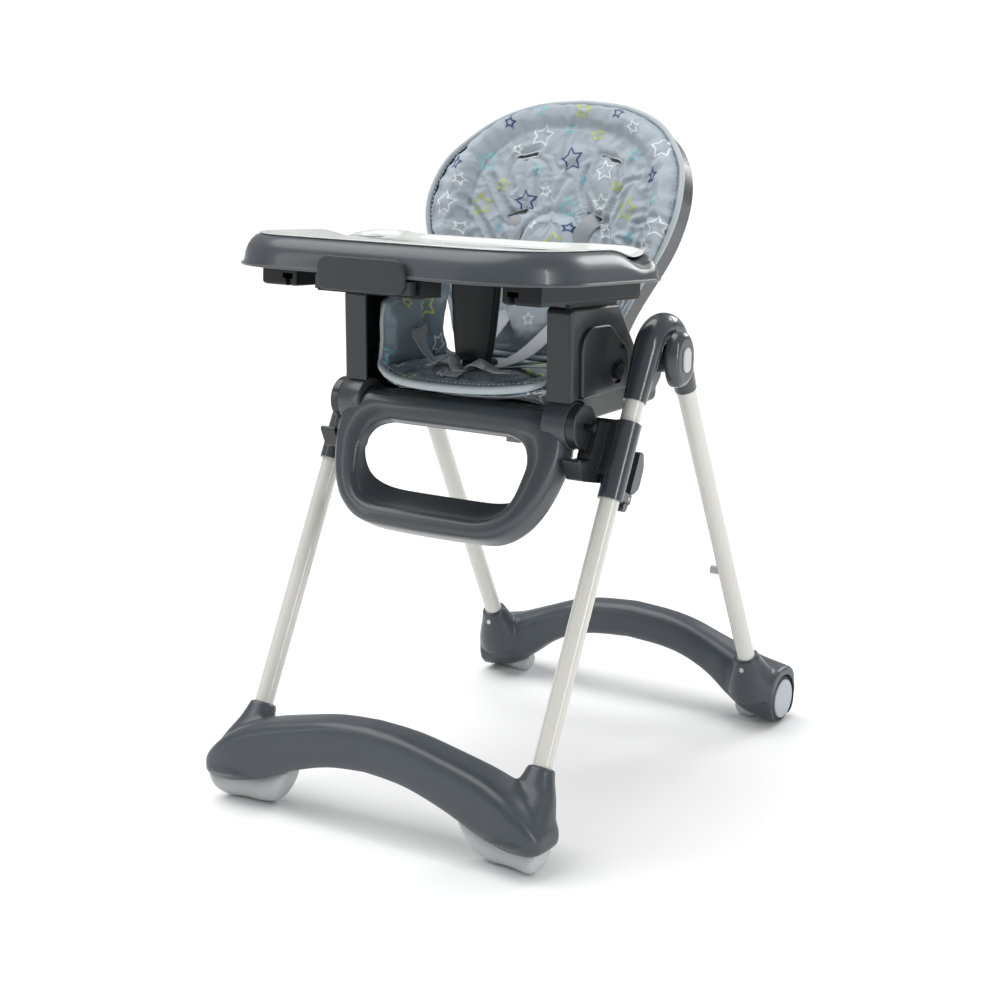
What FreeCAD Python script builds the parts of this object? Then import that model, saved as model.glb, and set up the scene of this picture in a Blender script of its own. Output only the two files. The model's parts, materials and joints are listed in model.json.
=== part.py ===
"""Folding baby high chair with a height-adjustable, reclining seat, leg rest and removable tray.

The chair faces -Y, +Z is up and the origin is on the floor under the middle of the frame.
"left" is the -X side and "right" the +X side. Lengths are in millimetres.
Two front legs and two rear legs meet in a folding hinge on each side. The seat hangs between
the front legs on two sleeves that slide along the front tubes.
"""

import FreeCAD
import Part
import math
import os

V = FreeCAD.Vector
SIDES = (("left", -1), ("right", 1))
X_AXIS = V(1, 0, 0)
Y_AXIS = V(0, 1, 0)
Z_AXIS = V(0, 0, 1)

# ---------------------------------------------------------------- driving dimensions
LEG_X = 258.0            # tube axis from the middle plane
TUBE_R = 15.0            # leg tube outer radius
TUBE_WALL = 1.5
FRONT_LEAN = 27.3        # degrees from vertical, top leaning back
REAR_LEAN = 25.9         # degrees from vertical, top leaning forward
HINGE_Y = 3.0            # folding hinge axis
HINGE_Z = 688.0
ARCH_R = 46.0            # hinge axis to leg axis
SHOULDER_R = 22.0        # radius of the arch section
COLLAR_R = 17.6          # radius of a shoulder's lower end
LEG_TOP = 24.0           # leg axis: tube top below the tangent point
LEG_END = 690.0          # leg axis: tube bottom below the tangent point
SOCKET_END = 641.0       # leg axis: where the tube leaves the base

BASE_FRONT_Y = -390.0    # front beam centre line
BASE_REAR_Y = 388.0      # rear beam centre line and wheel axis
FOOTPRINT_Y = 434.0      # half of the overall depth
WALL = 3.5               # moulded wall

WHEEL_R = 40.0
WHEEL_Z = 43.0           # the tyre stays 3 mm off the floor until the chair is tipped back
WHEEL_CAP_R = 33.5
WHEEL_X = 277.0          # inner face
WHEEL_W = 22.0
AXLE_R = 4.0
RUNNING = 0.08           # radial clearance of a turning or sliding fit

SLEEVE_R = 19.5
SLEEVE_Z = 497.0         # height of the sleeve's lower end
SLEEVE_L = 119.0
LOCK_PIN_R = 3.0
LOCK_PIN_UP = 62.0       # lock pin above the sleeve's lower end
HEIGHT_PITCH = 46.0
HEIGHT_HOLES = 6

PANEL_IN = 165.0         # side panel inner and outer faces
PANEL_OUT = 207.0
RECESS_YZ = (-50.0, 671.0)
LEG_REST_Y = -160.0      # leg rest pivot
LEG_REST_Z = 604.0
LEG_REST_TILT = 26.0
LEG_REST_PIN_R = 6.0
RECLINE_Y = 62.0         # backrest pivot
RECLINE_Z = 625.0
RECLINE_TILT = 22.0
RECLINE_PIN_R = 7.0

TRAY_TILT = 3.9
TRAY_Y = -215.0          # tray frame origin, on the lower rim plane
TRAY_Z = 822.4
TRAY_HALF_X = 290.0
TRAY_FRONT = -184.0      # tray frame
TRAY_REAR = 186.0
TRAY_CORNER = 130.0
TRAY_TOP = 46.0
TRAY_UNDER = 34.0        # underside of the tray's deck


# ---------------------------------------------------------------- helpers
def save(name, shape):
    """Writes one node's STEP file."""
    shape.exportStep("parts/%s.step" % name)


def mirrored(shape, side):
    """The shape itself for the right side, its mirror image for the left."""
    if side > 0:
        return shape
    return shape.mirror(V(0, 0, 0), X_AXIS)


def turned(shape, degrees, y, z):
    """Turns a shape about X and then moves its origin to (0, y, z)."""
    moved = shape.copy()
    moved.rotate(V(0, 0, 0), X_AXIS, degrees)
    moved.translate(V(0, y, z))
    return moved


def box(x0, x1, y0, y1, z0, z1):
    return Part.makeBox(x1 - x0, y1 - y0, z1 - z0, V(x0, y0, z0))


def rod_x(radius, x0, x1, y, z):
    """Cylinder along X."""
    return Part.makeCylinder(radius, x1 - x0, V(x0, y, z), X_AXIS)


def rounded_wire(corners, to_point):
    """Closed outline of straight runs with an arc of radius r at each (a, b, r) corner."""
    count = len(corners)
    spans = []
    for i in range(count):
        a, b, r = corners[i]
        pa, pb, _ = corners[i - 1]
        na, nb, _ = corners[(i + 1) % count]
        to_prev = V(pa - a, pb - b, 0).normalize()
        to_next = V(na - a, nb - b, 0).normalize()
        half = to_prev.getAngle(to_next) / 2
        if r <= 0:
            spans.append((V(a, b, 0),) * 3)
            continue
        cut = r / math.tan(half)
        bisector = (to_prev + to_next).normalize()
        middle = V(a, b, 0) + bisector * (r / math.sin(half) - r)
        spans.append((V(a, b, 0) + to_prev * cut, middle, V(a, b, 0) + to_next * cut))
    edges = []
    for i in range(count):
        start, middle, end = spans[i]
        after = spans[(i + 1) % count][0]
        if start.distanceToPoint(end) > 1e-6:
            edges.append(Part.Arc(*[to_point(p.x, p.y) for p in (start, middle, end)]).toShape())
        if end.distanceToPoint(after) > 1e-6:
            edges.append(Part.LineSegment(to_point(end.x, end.y), to_point(after.x, after.y)).toShape())
    return Part.Wire(edges)


def plate_yz(corners, x0, x1):
    """Plate with a rounded outline in the YZ plane, from x0 to x1."""
    wire = rounded_wire(corners, lambda a, b: V(x0, a, b))
    return Part.Face(wire).extrude(V(x1 - x0, 0, 0))


def xz_wire(corners, y):
    """Rounded outline in the XZ plane at y."""
    return rounded_wire(corners, lambda a, b: V(a, y, b))


def plate_xz(corners, y0, y1):
    """Plate with a rounded outline in the XZ plane, from y0 to y1."""
    return Part.Face(xz_wire(corners, y0)).extrude(V(0, y1 - y0, 0))


def plate_xy(corners, z0, z1):
    """Plate with a rounded outline in the XY plane, from z0 to z1."""
    wire = rounded_wire(corners, lambda a, b: V(a, b, z0))
    return Part.Face(wire).extrude(V(0, 0, z1 - z0))


def smooth_wire(points):
    """Closed smooth curve through the points."""
    curve = Part.BSplineCurve()
    curve.interpolate(Points=points, PeriodicFlag=True)
    return Part.Wire([curve.toShape()])


def squircle(centre, half_a, half_b, axis_a, axis_b, power=3.0, count=20):
    """Closed outline between an ellipse (power 2) and a rectangle."""
    points = []
    for i in range(count):
        angle = 2 * math.pi * i / count
        c, s = math.cos(angle), math.sin(angle)
        a = half_a * math.copysign(abs(c) ** (2 / power), c)
        b = half_b * math.copysign(abs(s) ** (2 / power), s)
        points.append(centre + axis_a * a + axis_b * b)
    return smooth_wire(points)


def softened(shape, radius, choose):
    """Rounds the chosen edges, or leaves the shape if the kernel can't."""
    edges = [e for e in shape.Edges if choose(e)]
    for r in (radius, radius * 0.6, radius * 0.35):
        try:
            made = shape.makeFillet(r, edges)
            if made.isValid() and made.Volume > 0:
                return made
        except Exception:
            continue
    return shape


# ---------------------------------------------------------------- legs
FRONT_UP = V(0, math.sin(math.radians(FRONT_LEAN)), math.cos(math.radians(FRONT_LEAN)))
REAR_UP = V(0, -math.sin(math.radians(REAR_LEAN)), math.cos(math.radians(REAR_LEAN)))
FRONT_TOP = V(LEG_X, HINGE_Y - ARCH_R * FRONT_UP.z, HINGE_Z + ARCH_R * FRONT_UP.y)
REAR_TOP = V(LEG_X, HINGE_Y + ARCH_R * REAR_UP.z, HINGE_Z - ARCH_R * REAR_UP.y)


def front_at(s):
    """Point on the right front leg's axis, s below the arch."""
    return FRONT_TOP - FRONT_UP * s


def rear_at(s):
    """Point on the right rear leg's axis, s below the arch."""
    return REAR_TOP - REAR_UP * s


def leg_tube(top, up):
    start = top - up * LEG_END
    length = LEG_END - LEG_TOP
    outer = Part.makeCylinder(TUBE_R, length, start, up)
    inner = Part.makeCylinder(TUBE_R - TUBE_WALL, length, start, up)
    return outer.cut(inner)


def leg_bar(top, up, radius=TUBE_R):
    """Solid bar that clears the way for a leg tube."""
    return Part.makeCylinder(radius, LEG_END - LEG_TOP + 1, top - up * (LEG_END + 0.5), up)


def front_tube():
    tube = leg_tube(FRONT_TOP, FRONT_UP)
    behind = V(0, FRONT_UP.z, -FRONT_UP.y)
    top_hole = (FRONT_TOP.z - SLEEVE_Z) / FRONT_UP.z - LOCK_PIN_UP
    for i in range(HEIGHT_HOLES):
        at = front_at(top_hole + HEIGHT_PITCH * i)
        tube = tube.cut(Part.makeCylinder(LOCK_PIN_R + 0.4, TUBE_R + 2, at, behind))
    return tube


# ---------------------------------------------------------------- bases
FRONT_BEAM = ((0, 137, 36, 31), (70, 131, 37, 32), (140, 114, 38, 34), (205, 92, 41, 38), (250, 78, 40, 41),
              (288, 70, 32, 41), (308, 66, 22, 35))
REAR_BEAM = ((0, 137.5, 31.5, 30), (70, 132, 31, 31), (120, 121, 32, 33), (165, 102, 35, 36),
             (205, 80, 42, 42), (245, 61, 47, 46), (301, 51, 46, 47))


def beam(stations, y, inset, power):
    """Arched beam lofted along X through (x, centre z, half height, half depth) stations."""
    both = [(-x, z, h, d) for x, z, h, d in reversed(stations[1:])] + list(stations)
    wires = []
    for x, z, h, d in both:
        wires.append(squircle(V(x, y, z), d - inset, h - inset, Y_AXIS, Z_AXIS, power))
    return Part.makeLoft(wires, True, False)


def front_hood(inset):
    """End hood of the front base, from the foot's outline up to the tube collar."""
    levels = ((60, 261, -388, 47, 42, 3.2), (88, 260.5, -371, 39, 36, 2.9), (116, 259.5, -351, 28, 26, 2.5))
    wires = []
    for z, x, y, half_x, half_y, power in levels:
        wires.append(squircle(V(x, y, z), half_x - inset, half_y - inset, X_AXIS, Y_AXIS, power))
    across = V(0, FRONT_UP.z, -FRONT_UP.y)
    wires.append(squircle(front_at(SOCKET_END), 20 - inset, 20 - inset, X_AXIS, across, 2.0))
    return Part.makeLoft(wires, True, False)


def rear_socket():
    """Collar of the rear base around the tube."""
    across = V(0, REAR_UP.z, -REAR_UP.y)
    wires = []
    for s, radius in ((SOCKET_END + 46, 33), (SOCKET_END + 22, 25), (SOCKET_END, 20)):
        wires.append(squircle(rear_at(s), radius, radius, X_AXIS, -across, 2.0))
    return Part.makeLoft(wires, True, False)


def base_screw(at, inward):
    """Pan-head screw with its head just proud of the surface."""
    head = Part.makeCylinder(4.2, 2.4, at, inward)
    shank = Part.makeCylinder(2.0, 16.0, at + inward * 2.4, inward)
    return head.fuse(shank)


def front_base_outer():
    solid = beam(FRONT_BEAM, BASE_FRONT_Y, 0, 3.0)
    hood = front_hood(0)
    return solid.fuse(hood).fuse(mirrored(hood, -1))


def front_base(outer, screws):
    hollow = beam(FRONT_BEAM[:4], BASE_FRONT_Y, WALL, 3.0)
    shell = outer.cut(hollow)
    for _, side in SIDES:
        shell = shell.cut(mirrored(leg_bar(FRONT_TOP, FRONT_UP), side))
    return shell.cut(screws)


def front_foot():
    """Pad under one end of the front base, with a thin inner tip that runs up the arch."""
    along = ((150, 69, 3), (186, 0, 34), (292, 0, 26), (306, 35, 4), (262, 33, 30), (205, 45, 30))
    across = ((-430, 80, 2), (-430, 44, 14), (-398, 0, 26), (-352, 0, 14), (-346, 80, 2))
    return plate_xz(along, -FOOTPRINT_Y, -340).common(plate_yz(across, 140, 320))


def rear_base_outer():
    solid = beam(REAR_BEAM, BASE_REAR_Y, 0, 2.7)
    socket = rear_socket()
    return solid.fuse(socket).fuse(mirrored(socket, -1))


def rear_base(outer, screws, axles):
    inner_stations = REAR_BEAM[:-1] + ((270, 60, 49, 45),)
    shell = outer.cut(beam(inner_stations, BASE_REAR_Y, WALL, 2.7))
    wall = rod_x(30, 262, 275, BASE_REAR_Y, WHEEL_Z).common(outer)
    pocket = rod_x(WHEEL_R + 2.2, WHEEL_X - 2, 310, BASE_REAR_Y, WHEEL_Z)
    for _, side in SIDES:
        shell = shell.fuse(mirrored(wall, side))
        shell = shell.cut(mirrored(pocket, side))
        shell = shell.cut(mirrored(leg_bar(REAR_TOP, REAR_UP), side))
    return shell.cut(screws).cut(axles)


def rear_foot(outer):
    corners = ((192, 34, 4), (210, 0, 10), (258, 0, 8), (268, 22, 4), (262, 40, 4))
    return plate_xz(corners, BASE_REAR_Y - 26, BASE_REAR_Y + 26).cut(outer)


def tray_peg():
    """Peg on the inner side of a rear leg where the tray hangs when it is off."""
    at = rear_at(457.0)
    peg = rod_x(7.0, 229.0, 250.0, at.y, at.z)
    return peg.cut(leg_bar(REAR_TOP, REAR_UP))


# ---------------------------------------------------------------- wheels
def wheel():
    body = rod_x(WHEEL_R, WHEEL_X, WHEEL_X + WHEEL_W, BASE_REAR_Y, WHEEL_Z)
    body = softened(body, 3.0, lambda e: e.Length > 100)
    seat = rod_x(WHEEL_CAP_R, WHEEL_X + 17, WHEEL_X + WHEEL_W + 1, BASE_REAR_Y, WHEEL_Z)
    bore = rod_x(AXLE_R + RUNNING, WHEEL_X - 1, WHEEL_X + 18, BASE_REAR_Y, WHEEL_Z)
    return body.cut(seat).cut(bore)


def wheel_cap():
    cap = rod_x(WHEEL_CAP_R, WHEEL_X + 17, WHEEL_X + WHEEL_W + 3, BASE_REAR_Y, WHEEL_Z)
    return softened(cap, 2.0, lambda e: e.BoundBox.XMin > WHEEL_X + WHEEL_W)


def wheel_axle():
    return rod_x(AXLE_R, 258, WHEEL_X + 16.6, BASE_REAR_Y, WHEEL_Z)


# ---------------------------------------------------------------- folding hinge
HUB_R = 22.0
HINGE_PIN_R = 7.0
ARCH_SPLIT = 90.0        # degrees above +Y where the two halves of the arch meet
SPLIT_GAP = 1.1          # degrees each side
HUB_SPLIT = 257.2        # plane between the front hub and the rear hub


def arch_half(top, up, length, start_angle, sweep):
    """Cone round the leg tube and a turn of the arch over the hinge axis."""
    cone = Part.makeCone(COLLAR_R, SHOULDER_R, length, top - up * length, up)
    ring = Part.Wire([Part.Circle(top, up, SHOULDER_R).toShape()])
    arch = Part.Face(ring).revolve(V(LEG_X, HINGE_Y, HINGE_Z), X_AXIS, sweep)
    return cone.fuse(arch)


def front_shoulder():
    start = 180 - FRONT_LEAN
    sweep = -(start - ARCH_SPLIT - SPLIT_GAP)
    solid = arch_half(FRONT_TOP, FRONT_UP, 86.0, start, sweep)
    web = plate_yz(((-70, 640, 8), (-16, 640, 12), (5, 660, 12), (5, 709, 4), (-12, 728, 10), (-60, 700, 4)),
                   HUB_SPLIT - 16.4, HUB_SPLIT - 0.4)
    hub = rod_x(HUB_R, HUB_SPLIT - 16.4, HUB_SPLIT - 0.4, HINGE_Y, HINGE_Z)
    solid = solid.fuse(web).fuse(hub)
    solid = solid.cut(leg_bar(FRONT_TOP, FRONT_UP))
    return solid.cut(rod_x(HINGE_PIN_R, 230, 290, HINGE_Y, HINGE_Z))


def rear_shoulder():
    sweep = ARCH_SPLIT - REAR_LEAN - SPLIT_GAP
    solid = arch_half(REAR_TOP, REAR_UP, 88.0, REAR_LEAN, sweep)
    hub = rod_x(HUB_R, HUB_SPLIT + 0.4, 277.0, HINGE_Y, HINGE_Z)
    web = box(HUB_SPLIT + 0.4, 277.0, HINGE_Y + 8, HINGE_Y + 34, HINGE_Z - 16, HINGE_Z + 14)
    solid = solid.fuse(hub).fuse(web)
    solid = solid.cut(leg_bar(REAR_TOP, REAR_UP))
    return solid.cut(rod_x(HINGE_PIN_R + RUNNING, 230, 290, HINGE_Y, HINGE_Z))


def hinge_cap():
    """Domed cover over the hinge with the pocket for the fold button."""
    levels = ((281.5, 33, 43), (290, 32.5, 42.5), (297, 29, 39), (301, 23, 32))
    wires = [squircle(V(x, HINGE_Y, HINGE_Z), half_y, half_z, Y_AXIS, Z_AXIS, 2.2) for x, half_y, half_z in levels]
    dome = Part.makeLoft(wires, True, False)
    return dome.cut(fold_button(0.25)).cut(rod_x(HINGE_PIN_R, 270, 286, HINGE_Y, HINGE_Z))


def fold_button(grow=0.0):
    """Oblong push button; grow makes the pocket that it slides in."""
    half_w, half_h = 11.0 + grow, 19.0 + grow
    corners = tuple((HINGE_Y + a * half_w, HINGE_Z + b * half_h, half_w - 0.01)
                    for a, b in ((-1, -1), (1, -1), (1, 1), (-1, 1)))
    if grow:
        return plate_yz(corners, 287.0, 310.0)
    button = plate_yz(corners, 293.0, 304.0)
    return softened(button, 2.0, lambda e: e.BoundBox.XMin > 303.5)


def hinge_pin():
    return rod_x(HINGE_PIN_R, 240.0, 286.0, HINGE_Y, HINGE_Z)


# ---------------------------------------------------------------- height sleeves
SLEEVE_BASE = FRONT_TOP - FRONT_UP * ((FRONT_TOP.z - SLEEVE_Z) / FRONT_UP.z)


def on_leg(shape):
    """Places a shape made round a vertical axis at the origin onto the right front leg."""
    moved = shape.copy()
    moved.rotate(V(0, 0, 0), X_AXIS, -FRONT_LEAN)
    moved.translate(SLEEVE_BASE)
    return moved


LEVER_Y = 32.0
LEVER_Z = 12.0


def sleeve():
    """Sleeve on the front tube with the lugs that hold the height lever."""
    body = Part.makeCylinder(SLEEVE_R, SLEEVE_L)
    for side in (-1, 1):
        low, high = sorted((side * 9.6, side * 13.6))
        body = body.fuse(box(low, high, 8, LEVER_Y + 6, LEVER_Z - 7, LEVER_Z + 7))
    body = body.cut(Part.makeCylinder(TUBE_R + RUNNING, SLEEVE_L + 2, V(0, 0, -1)))
    guide = Part.makeCylinder(LOCK_PIN_R + RUNNING, 30, V(0, 0, LOCK_PIN_UP), Y_AXIS)
    pivot = rod_x(2.5, -20, 20, LEVER_Y, LEVER_Z)
    return on_leg(body.cut(guide).cut(pivot))


def lock_pin():
    return on_leg(Part.makeCylinder(LOCK_PIN_R, 10.0, V(0, TUBE_R + 0.3, LOCK_PIN_UP), Y_AXIS))


def lever_pin():
    return on_leg(rod_x(2.5, -13.6, 13.6, LEVER_Y, LEVER_Z))


def height_lever():
    """Squeeze paddle behind the sleeve."""
    hub = plate_yz(((27.5, -8, 4), (38, -8, 6), (44, 12, 8), (44, 44, 8), (28.2, 44, 3)), -9.2, 9.2)
    grip = plate_yz(((28.0, 21, 3), (38, 20.5, 6), (51, 34, 14), (50, 66, 20), (38, 88, 8), (28.8, 84, 3)), -15, 15)
    paddle = hub.fuse(grip)
    return on_leg(paddle.cut(rod_x(2.5 + RUNNING, -20, 20, LEVER_Y, LEVER_Z)))


def sleeve_bracket():
    """Arm from the sleeve to the side of the seat, with the hook under the leg rest's hub."""
    arm = box(-50.2, 4, -18, 17, 34, SLEEVE_L)
    arm = softened(arm, 5.0, lambda e: e.BoundBox.YMin > 16 or e.BoundBox.YMax < -17)
    arm = on_leg(arm.cut(Part.makeCylinder(SLEEVE_R, SLEEVE_L + 4, V(0, 0, -2))))
    hook = plate_yz(((-208, 572, 4), (-190, 530, 8), (-140, 518, 6), (-120, 518, 4), (-112, 556, 4), (-190, 558, 6)),
                    209.0, 236.0)
    cover = rod_x(34.0, 208.6, 223.0, LEG_REST_Y, LEG_REST_Z)
    cover = softened(cover, 3.0, lambda e: e.BoundBox.XMin > 222)
    web = plate_yz(((-168, 556, 4), (-150, 552, 4), (-96, 552, 4), (-96, 600, 4), (-140, 612, 6)), 212.0, 236.0)
    arm = arm.cut(rod_x(38.0, 200, 208.6, LEG_REST_Y, LEG_REST_Z)).fuse(hook).fuse(web).fuse(cover)
    arm = arm.cut(on_leg(Part.makeCylinder(SLEEVE_R, SLEEVE_L + 4, V(0, 0, -2))))
    return arm.cut(rod_x(LEG_REST_PIN_R, 200, 245, LEG_REST_Y, LEG_REST_Z))


# ---------------------------------------------------------------- seat
def side_panel():
    """Moulded side of the seat, open towards the child."""
    corners = ((-175, 606, 6), (-175, 779, 10), (-34, 769.5, 14), (4, 716, 40), (50, 655, 40), (86, 646, 12),
               (84, 606, 12))
    solid = plate_yz(corners, PANEL_IN, PANEL_OUT)
    solid = softened(solid, 6.0, lambda e: e.BoundBox.XMin > PANEL_OUT - 0.1)
    inner = ((-171, 612, 4), (-171, 775, 8), (-37, 765.5, 12), (0, 713, 38), (44, 650, 38), (50, 640, 8),
             (46, 612, 8))
    solid = solid.cut(plate_yz(inner, PANEL_IN - 1, PANEL_OUT - 4))
    solid = solid.cut(rod_x(38.0, 160, 210, LEG_REST_Y, LEG_REST_Z))
    return solid.cut(rod_x(RECLINE_PIN_R, 160, PANEL_OUT - 4, RECLINE_Y, RECLINE_Z))


def side_trim():
    """Raised arch-shaped cover on the outside of the side panel, with a boss in a round recess."""
    corners = ((-152, 642, 6), (-152, 748, 34), (-70, 744, 34), (-16, 700, 18), (-14, 642, 6))
    plate = plate_yz(corners, PANEL_OUT, PANEL_OUT + 6)
    plate = softened(plate, 3.0, lambda e: e.BoundBox.XMin > PANEL_OUT + 5.9)
    plate = plate.cut(rod_x(19.0, PANEL_OUT + 2, PANEL_OUT + 10, *RECESS_YZ))
    return plate.fuse(rod_x(12.0, PANEL_OUT + 1, PANEL_OUT + 11, *RECESS_YZ))


def side_screw():
    """Screw that holds the side cover."""
    return Part.makeCylinder(3.6, 2.0, V(PANEL_OUT + 6, -34, 706), X_AXIS)


def arm_rail(panel):
    """Rail on top of the side panel that the tray slides on."""
    rail = box(194, 202, 45, 182, -42, -12)
    head = box(190, 208, 45, 182, -18, -12)
    return in_tray_frame(rail.fuse(head)).cut(panel)


def seat_pan():
    """Shallow pan under the seat cushion."""
    pan = box(-PANEL_IN, PANEL_IN, -130, 20, 600, 627.5).cut(box(-158, 158, -126, 16, 606, 640))
    for x in (-110, -40, 40, 110):
        pan = pan.fuse(box(x - 2, x + 2, -128, 18, 590, 600))
    return pan.cut(box(-14, 14, -74, -70, 590, 610))


def strap_anchors():
    """Three clips under the pan that hold the harness ends."""
    solids = []
    for x, y in ((-85, -96), (-14, -96), (66, -96)):
        clip = plate_xz(((x - 17, 599.9, 2), (x - 13, 586, 3), (x + 13, 586, 3), (x + 17, 599.9, 2)), y - 8, y + 8)
        solids.append(clip)
    return Part.makeCompound(solids)


def strap_tail():
    """Free end of a harness strap below the pan."""
    tail = box(44, 68, -97, -95, 552, 585.8)
    return tail.fuse(box(44, 68, -95, -88, 552, 554))


def seat_cushion():
    corners = ((-218, 641, 5), (-165, 636, 8), (-140, 630.5, 3), (-125, 628, 2), (-125, 606.4, 1), (15.6, 606.4, 2),
               (15, 650, 8), (-150, 655, 12), (-212, 653, 6))
    plan = ((-157.4, -160, 10), (-96, -217, 120), (96, -217, 120), (157.4, -160, 10), (157.4, 16, 4), (-157.4, 16, 4))
    return plate_yz(corners, -157.4, 157.4).common(plate_xy(plan, 600, 660))


def cushion_wing():
    """Padded side of the cover against one side panel."""
    corners = ((-144, 656, 10), (-144, 764, 14), (-60, 769, 60), (42, 780, 16), (25, 716, 60), (20, 650.5, 6),
               (-100, 655, 4))
    wing = plate_yz(corners, 150.0, 164.6)
    return softened(wing, 4.0, lambda e: e.BoundBox.XMax < 150.1)


# ---------------------------------------------------------------- backrest
def in_back_frame(shape):
    """Moves a shape from the backrest frame (X across, Z up the back, Y behind) into the chair."""
    return turned(shape, -RECLINE_TILT, RECLINE_Y, RECLINE_Z)


BACK_OUTLINE = ((118, -8), (142, 40), (156, 92), (184, 150), (216, 208), (229, 262), (222, 320), (201, 361),
                (152, 411), (84, 440))
BACK_TOP = 449.0
BACK_HOLLOW = 40.0       # how far the sides come forward at BACK_REACH
BACK_REACH = 210.0
SHELL_FRONT = -26.0
SHELL_REAR = 15.0
SHELL_WALL = 4.0
CUSHION_FOOT = 26.0      # lower edge of the back cushion


def back_wire(y, inset):
    right = []
    for half, up in BACK_OUTLINE:
        centre_up = 230.0
        reach = math.hypot(half, up - centre_up)
        k = (reach - inset) / reach
        right.append(V(half * k, y, centre_up + (up - centre_up) * k))
    left = [V(-p.x, p.y, p.z) for p in reversed(right)]
    top = [V(0, y, BACK_TOP - inset)]
    bottom = [V(0, y, -12 + inset)]
    return smooth_wire(right + top + left + bottom)


def back_slab(y0, y1, inset0, inset1):
    return Part.makeLoft([back_wire(y0, inset0), back_wire(y1, inset1)], True, True)


def cupped(front, rear):
    """Block between two sheets that curve forward at the sides, in the backrest frame."""
    sections = []
    for up, hollow in ((-40, BACK_HOLLOW), (120, BACK_HOLLOW), (290, BACK_HOLLOW * 0.9), (470, 0.0)):
        ends = []
        edges = []
        for y in (front, rear):
            curve = Part.BSplineCurve()
            reach = [BACK_REACH * k / 5.0 for k in range(-6, 7)]
            curve.interpolate([V(x, y - hollow * (x / BACK_REACH) ** 2, up) for x in reach])
            edges.append(curve.toShape())
            ends.append((curve.StartPoint, curve.EndPoint))
        sides = [Part.makeLine(ends[0][k], ends[1][k]) for k in (0, 1)]
        sections.append(Part.Wire([edges[0], sides[1], edges[1], sides[0]]))
    return Part.makeLoft(sections, True, False)


def back_prism(inset):
    """Outline of the backrest as a column, rounded off towards its rear."""
    straight = back_slab(-110, 0, inset, inset)
    return straight.fuse(back_slab(0, 16, inset, inset + 12))


def back_outer():
    return back_prism(0).common(cupped(SHELL_FRONT, SHELL_REAR))


def back_shell():
    """Dished shell behind the back cushion."""
    inner = back_prism(SHELL_WALL).common(cupped(-100, SHELL_REAR - SHELL_WALL))
    shell = back_outer().cut(inner)
    for x in (-77, 77):
        for up in (262, 352):
            shell = shell.cut(box(x - 17, x + 17, 0, 20, up - 3, up + 3))
    for _, side in SIDES:
        ear = rod_x(14, 128, 164.0, 0, 0)
        bore = rod_x(RECLINE_PIN_R + RUNNING, 140, 170, 0, 0)
        shell = shell.fuse(mirrored(ear, side)).cut(mirrored(bore, side))
    return in_back_frame(shell)


def recline_pin():
    return rod_x(RECLINE_PIN_R, 140.2, PANEL_OUT - 4, RECLINE_Y, RECLINE_Z)


def recline_housing():
    """Raised housing on the rear of the shell round the recline grip."""
    corners = ((-62, 300, 18), (62, 300, 18), (52, 372, 22), (-52, 372, 22))
    solid = plate_xz(corners, SHELL_REAR - 6, 32).cut(back_outer())
    solid = solid.cut(plate_xz(((-44, 308, 10), (44, 308, 10), (38, 362, 14), (-38, 362, 14)), 19, 34))
    return in_back_frame(solid)


def recline_grip():
    """Squeeze grip that frees the recline."""
    corners = ((-40, 312, 8), (40, 312, 8), (36, 336, 8), (-36, 336, 8))
    grip = plate_xz(corners, 20, 38)
    return in_back_frame(softened(grip, 4.0, lambda e: e.BoundBox.YMin > 37))


def back_cushion():
    """Padded back of the cover: fills the shell and laps over its rim."""
    fill = back_prism(SHELL_WALL + 1.5).common(cupped(SHELL_FRONT - 2, 0))
    lap = back_prism(1).common(cupped(SHELL_FRONT - 10, SHELL_FRONT - 0.4))
    below = box(-200, 200, -110, 30, -60, CUSHION_FOOT)
    return in_back_frame(fill.fuse(lap).cut(below))


# ---------------------------------------------------------------- harness
def shoulder_strap(side):
    x = side * 75
    strap = box(x - 12.5, x + 12.5, -45.6, -43.2, 84, 266)
    return in_back_frame(strap)


def lap_straps():
    """Two waist straps and the crotch strap, lying on the seat cushion round the buckle."""
    waist = box(24.4, 149.4, -112, -88, 655.2, 657.2)
    crotch = box(-12.5, 12.5, -150, -128.4, 655.2, 657.2)
    return Part.makeCompound([waist, mirrored(waist, -1), crotch])


def buckle():
    body = box(-24, 24, -128, -78, 655.2, 668)
    return softened(body, 4.0, lambda e: e.BoundBox.ZMin > 667)


# ---------------------------------------------------------------- leg rest
def in_leg_rest_frame(shape):
    """Moves a shape from the leg rest frame (Z up the rest, -Y its front) into the chair."""
    return turned(shape, -LEG_REST_TILT, LEG_REST_Y, LEG_REST_Z)


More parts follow.
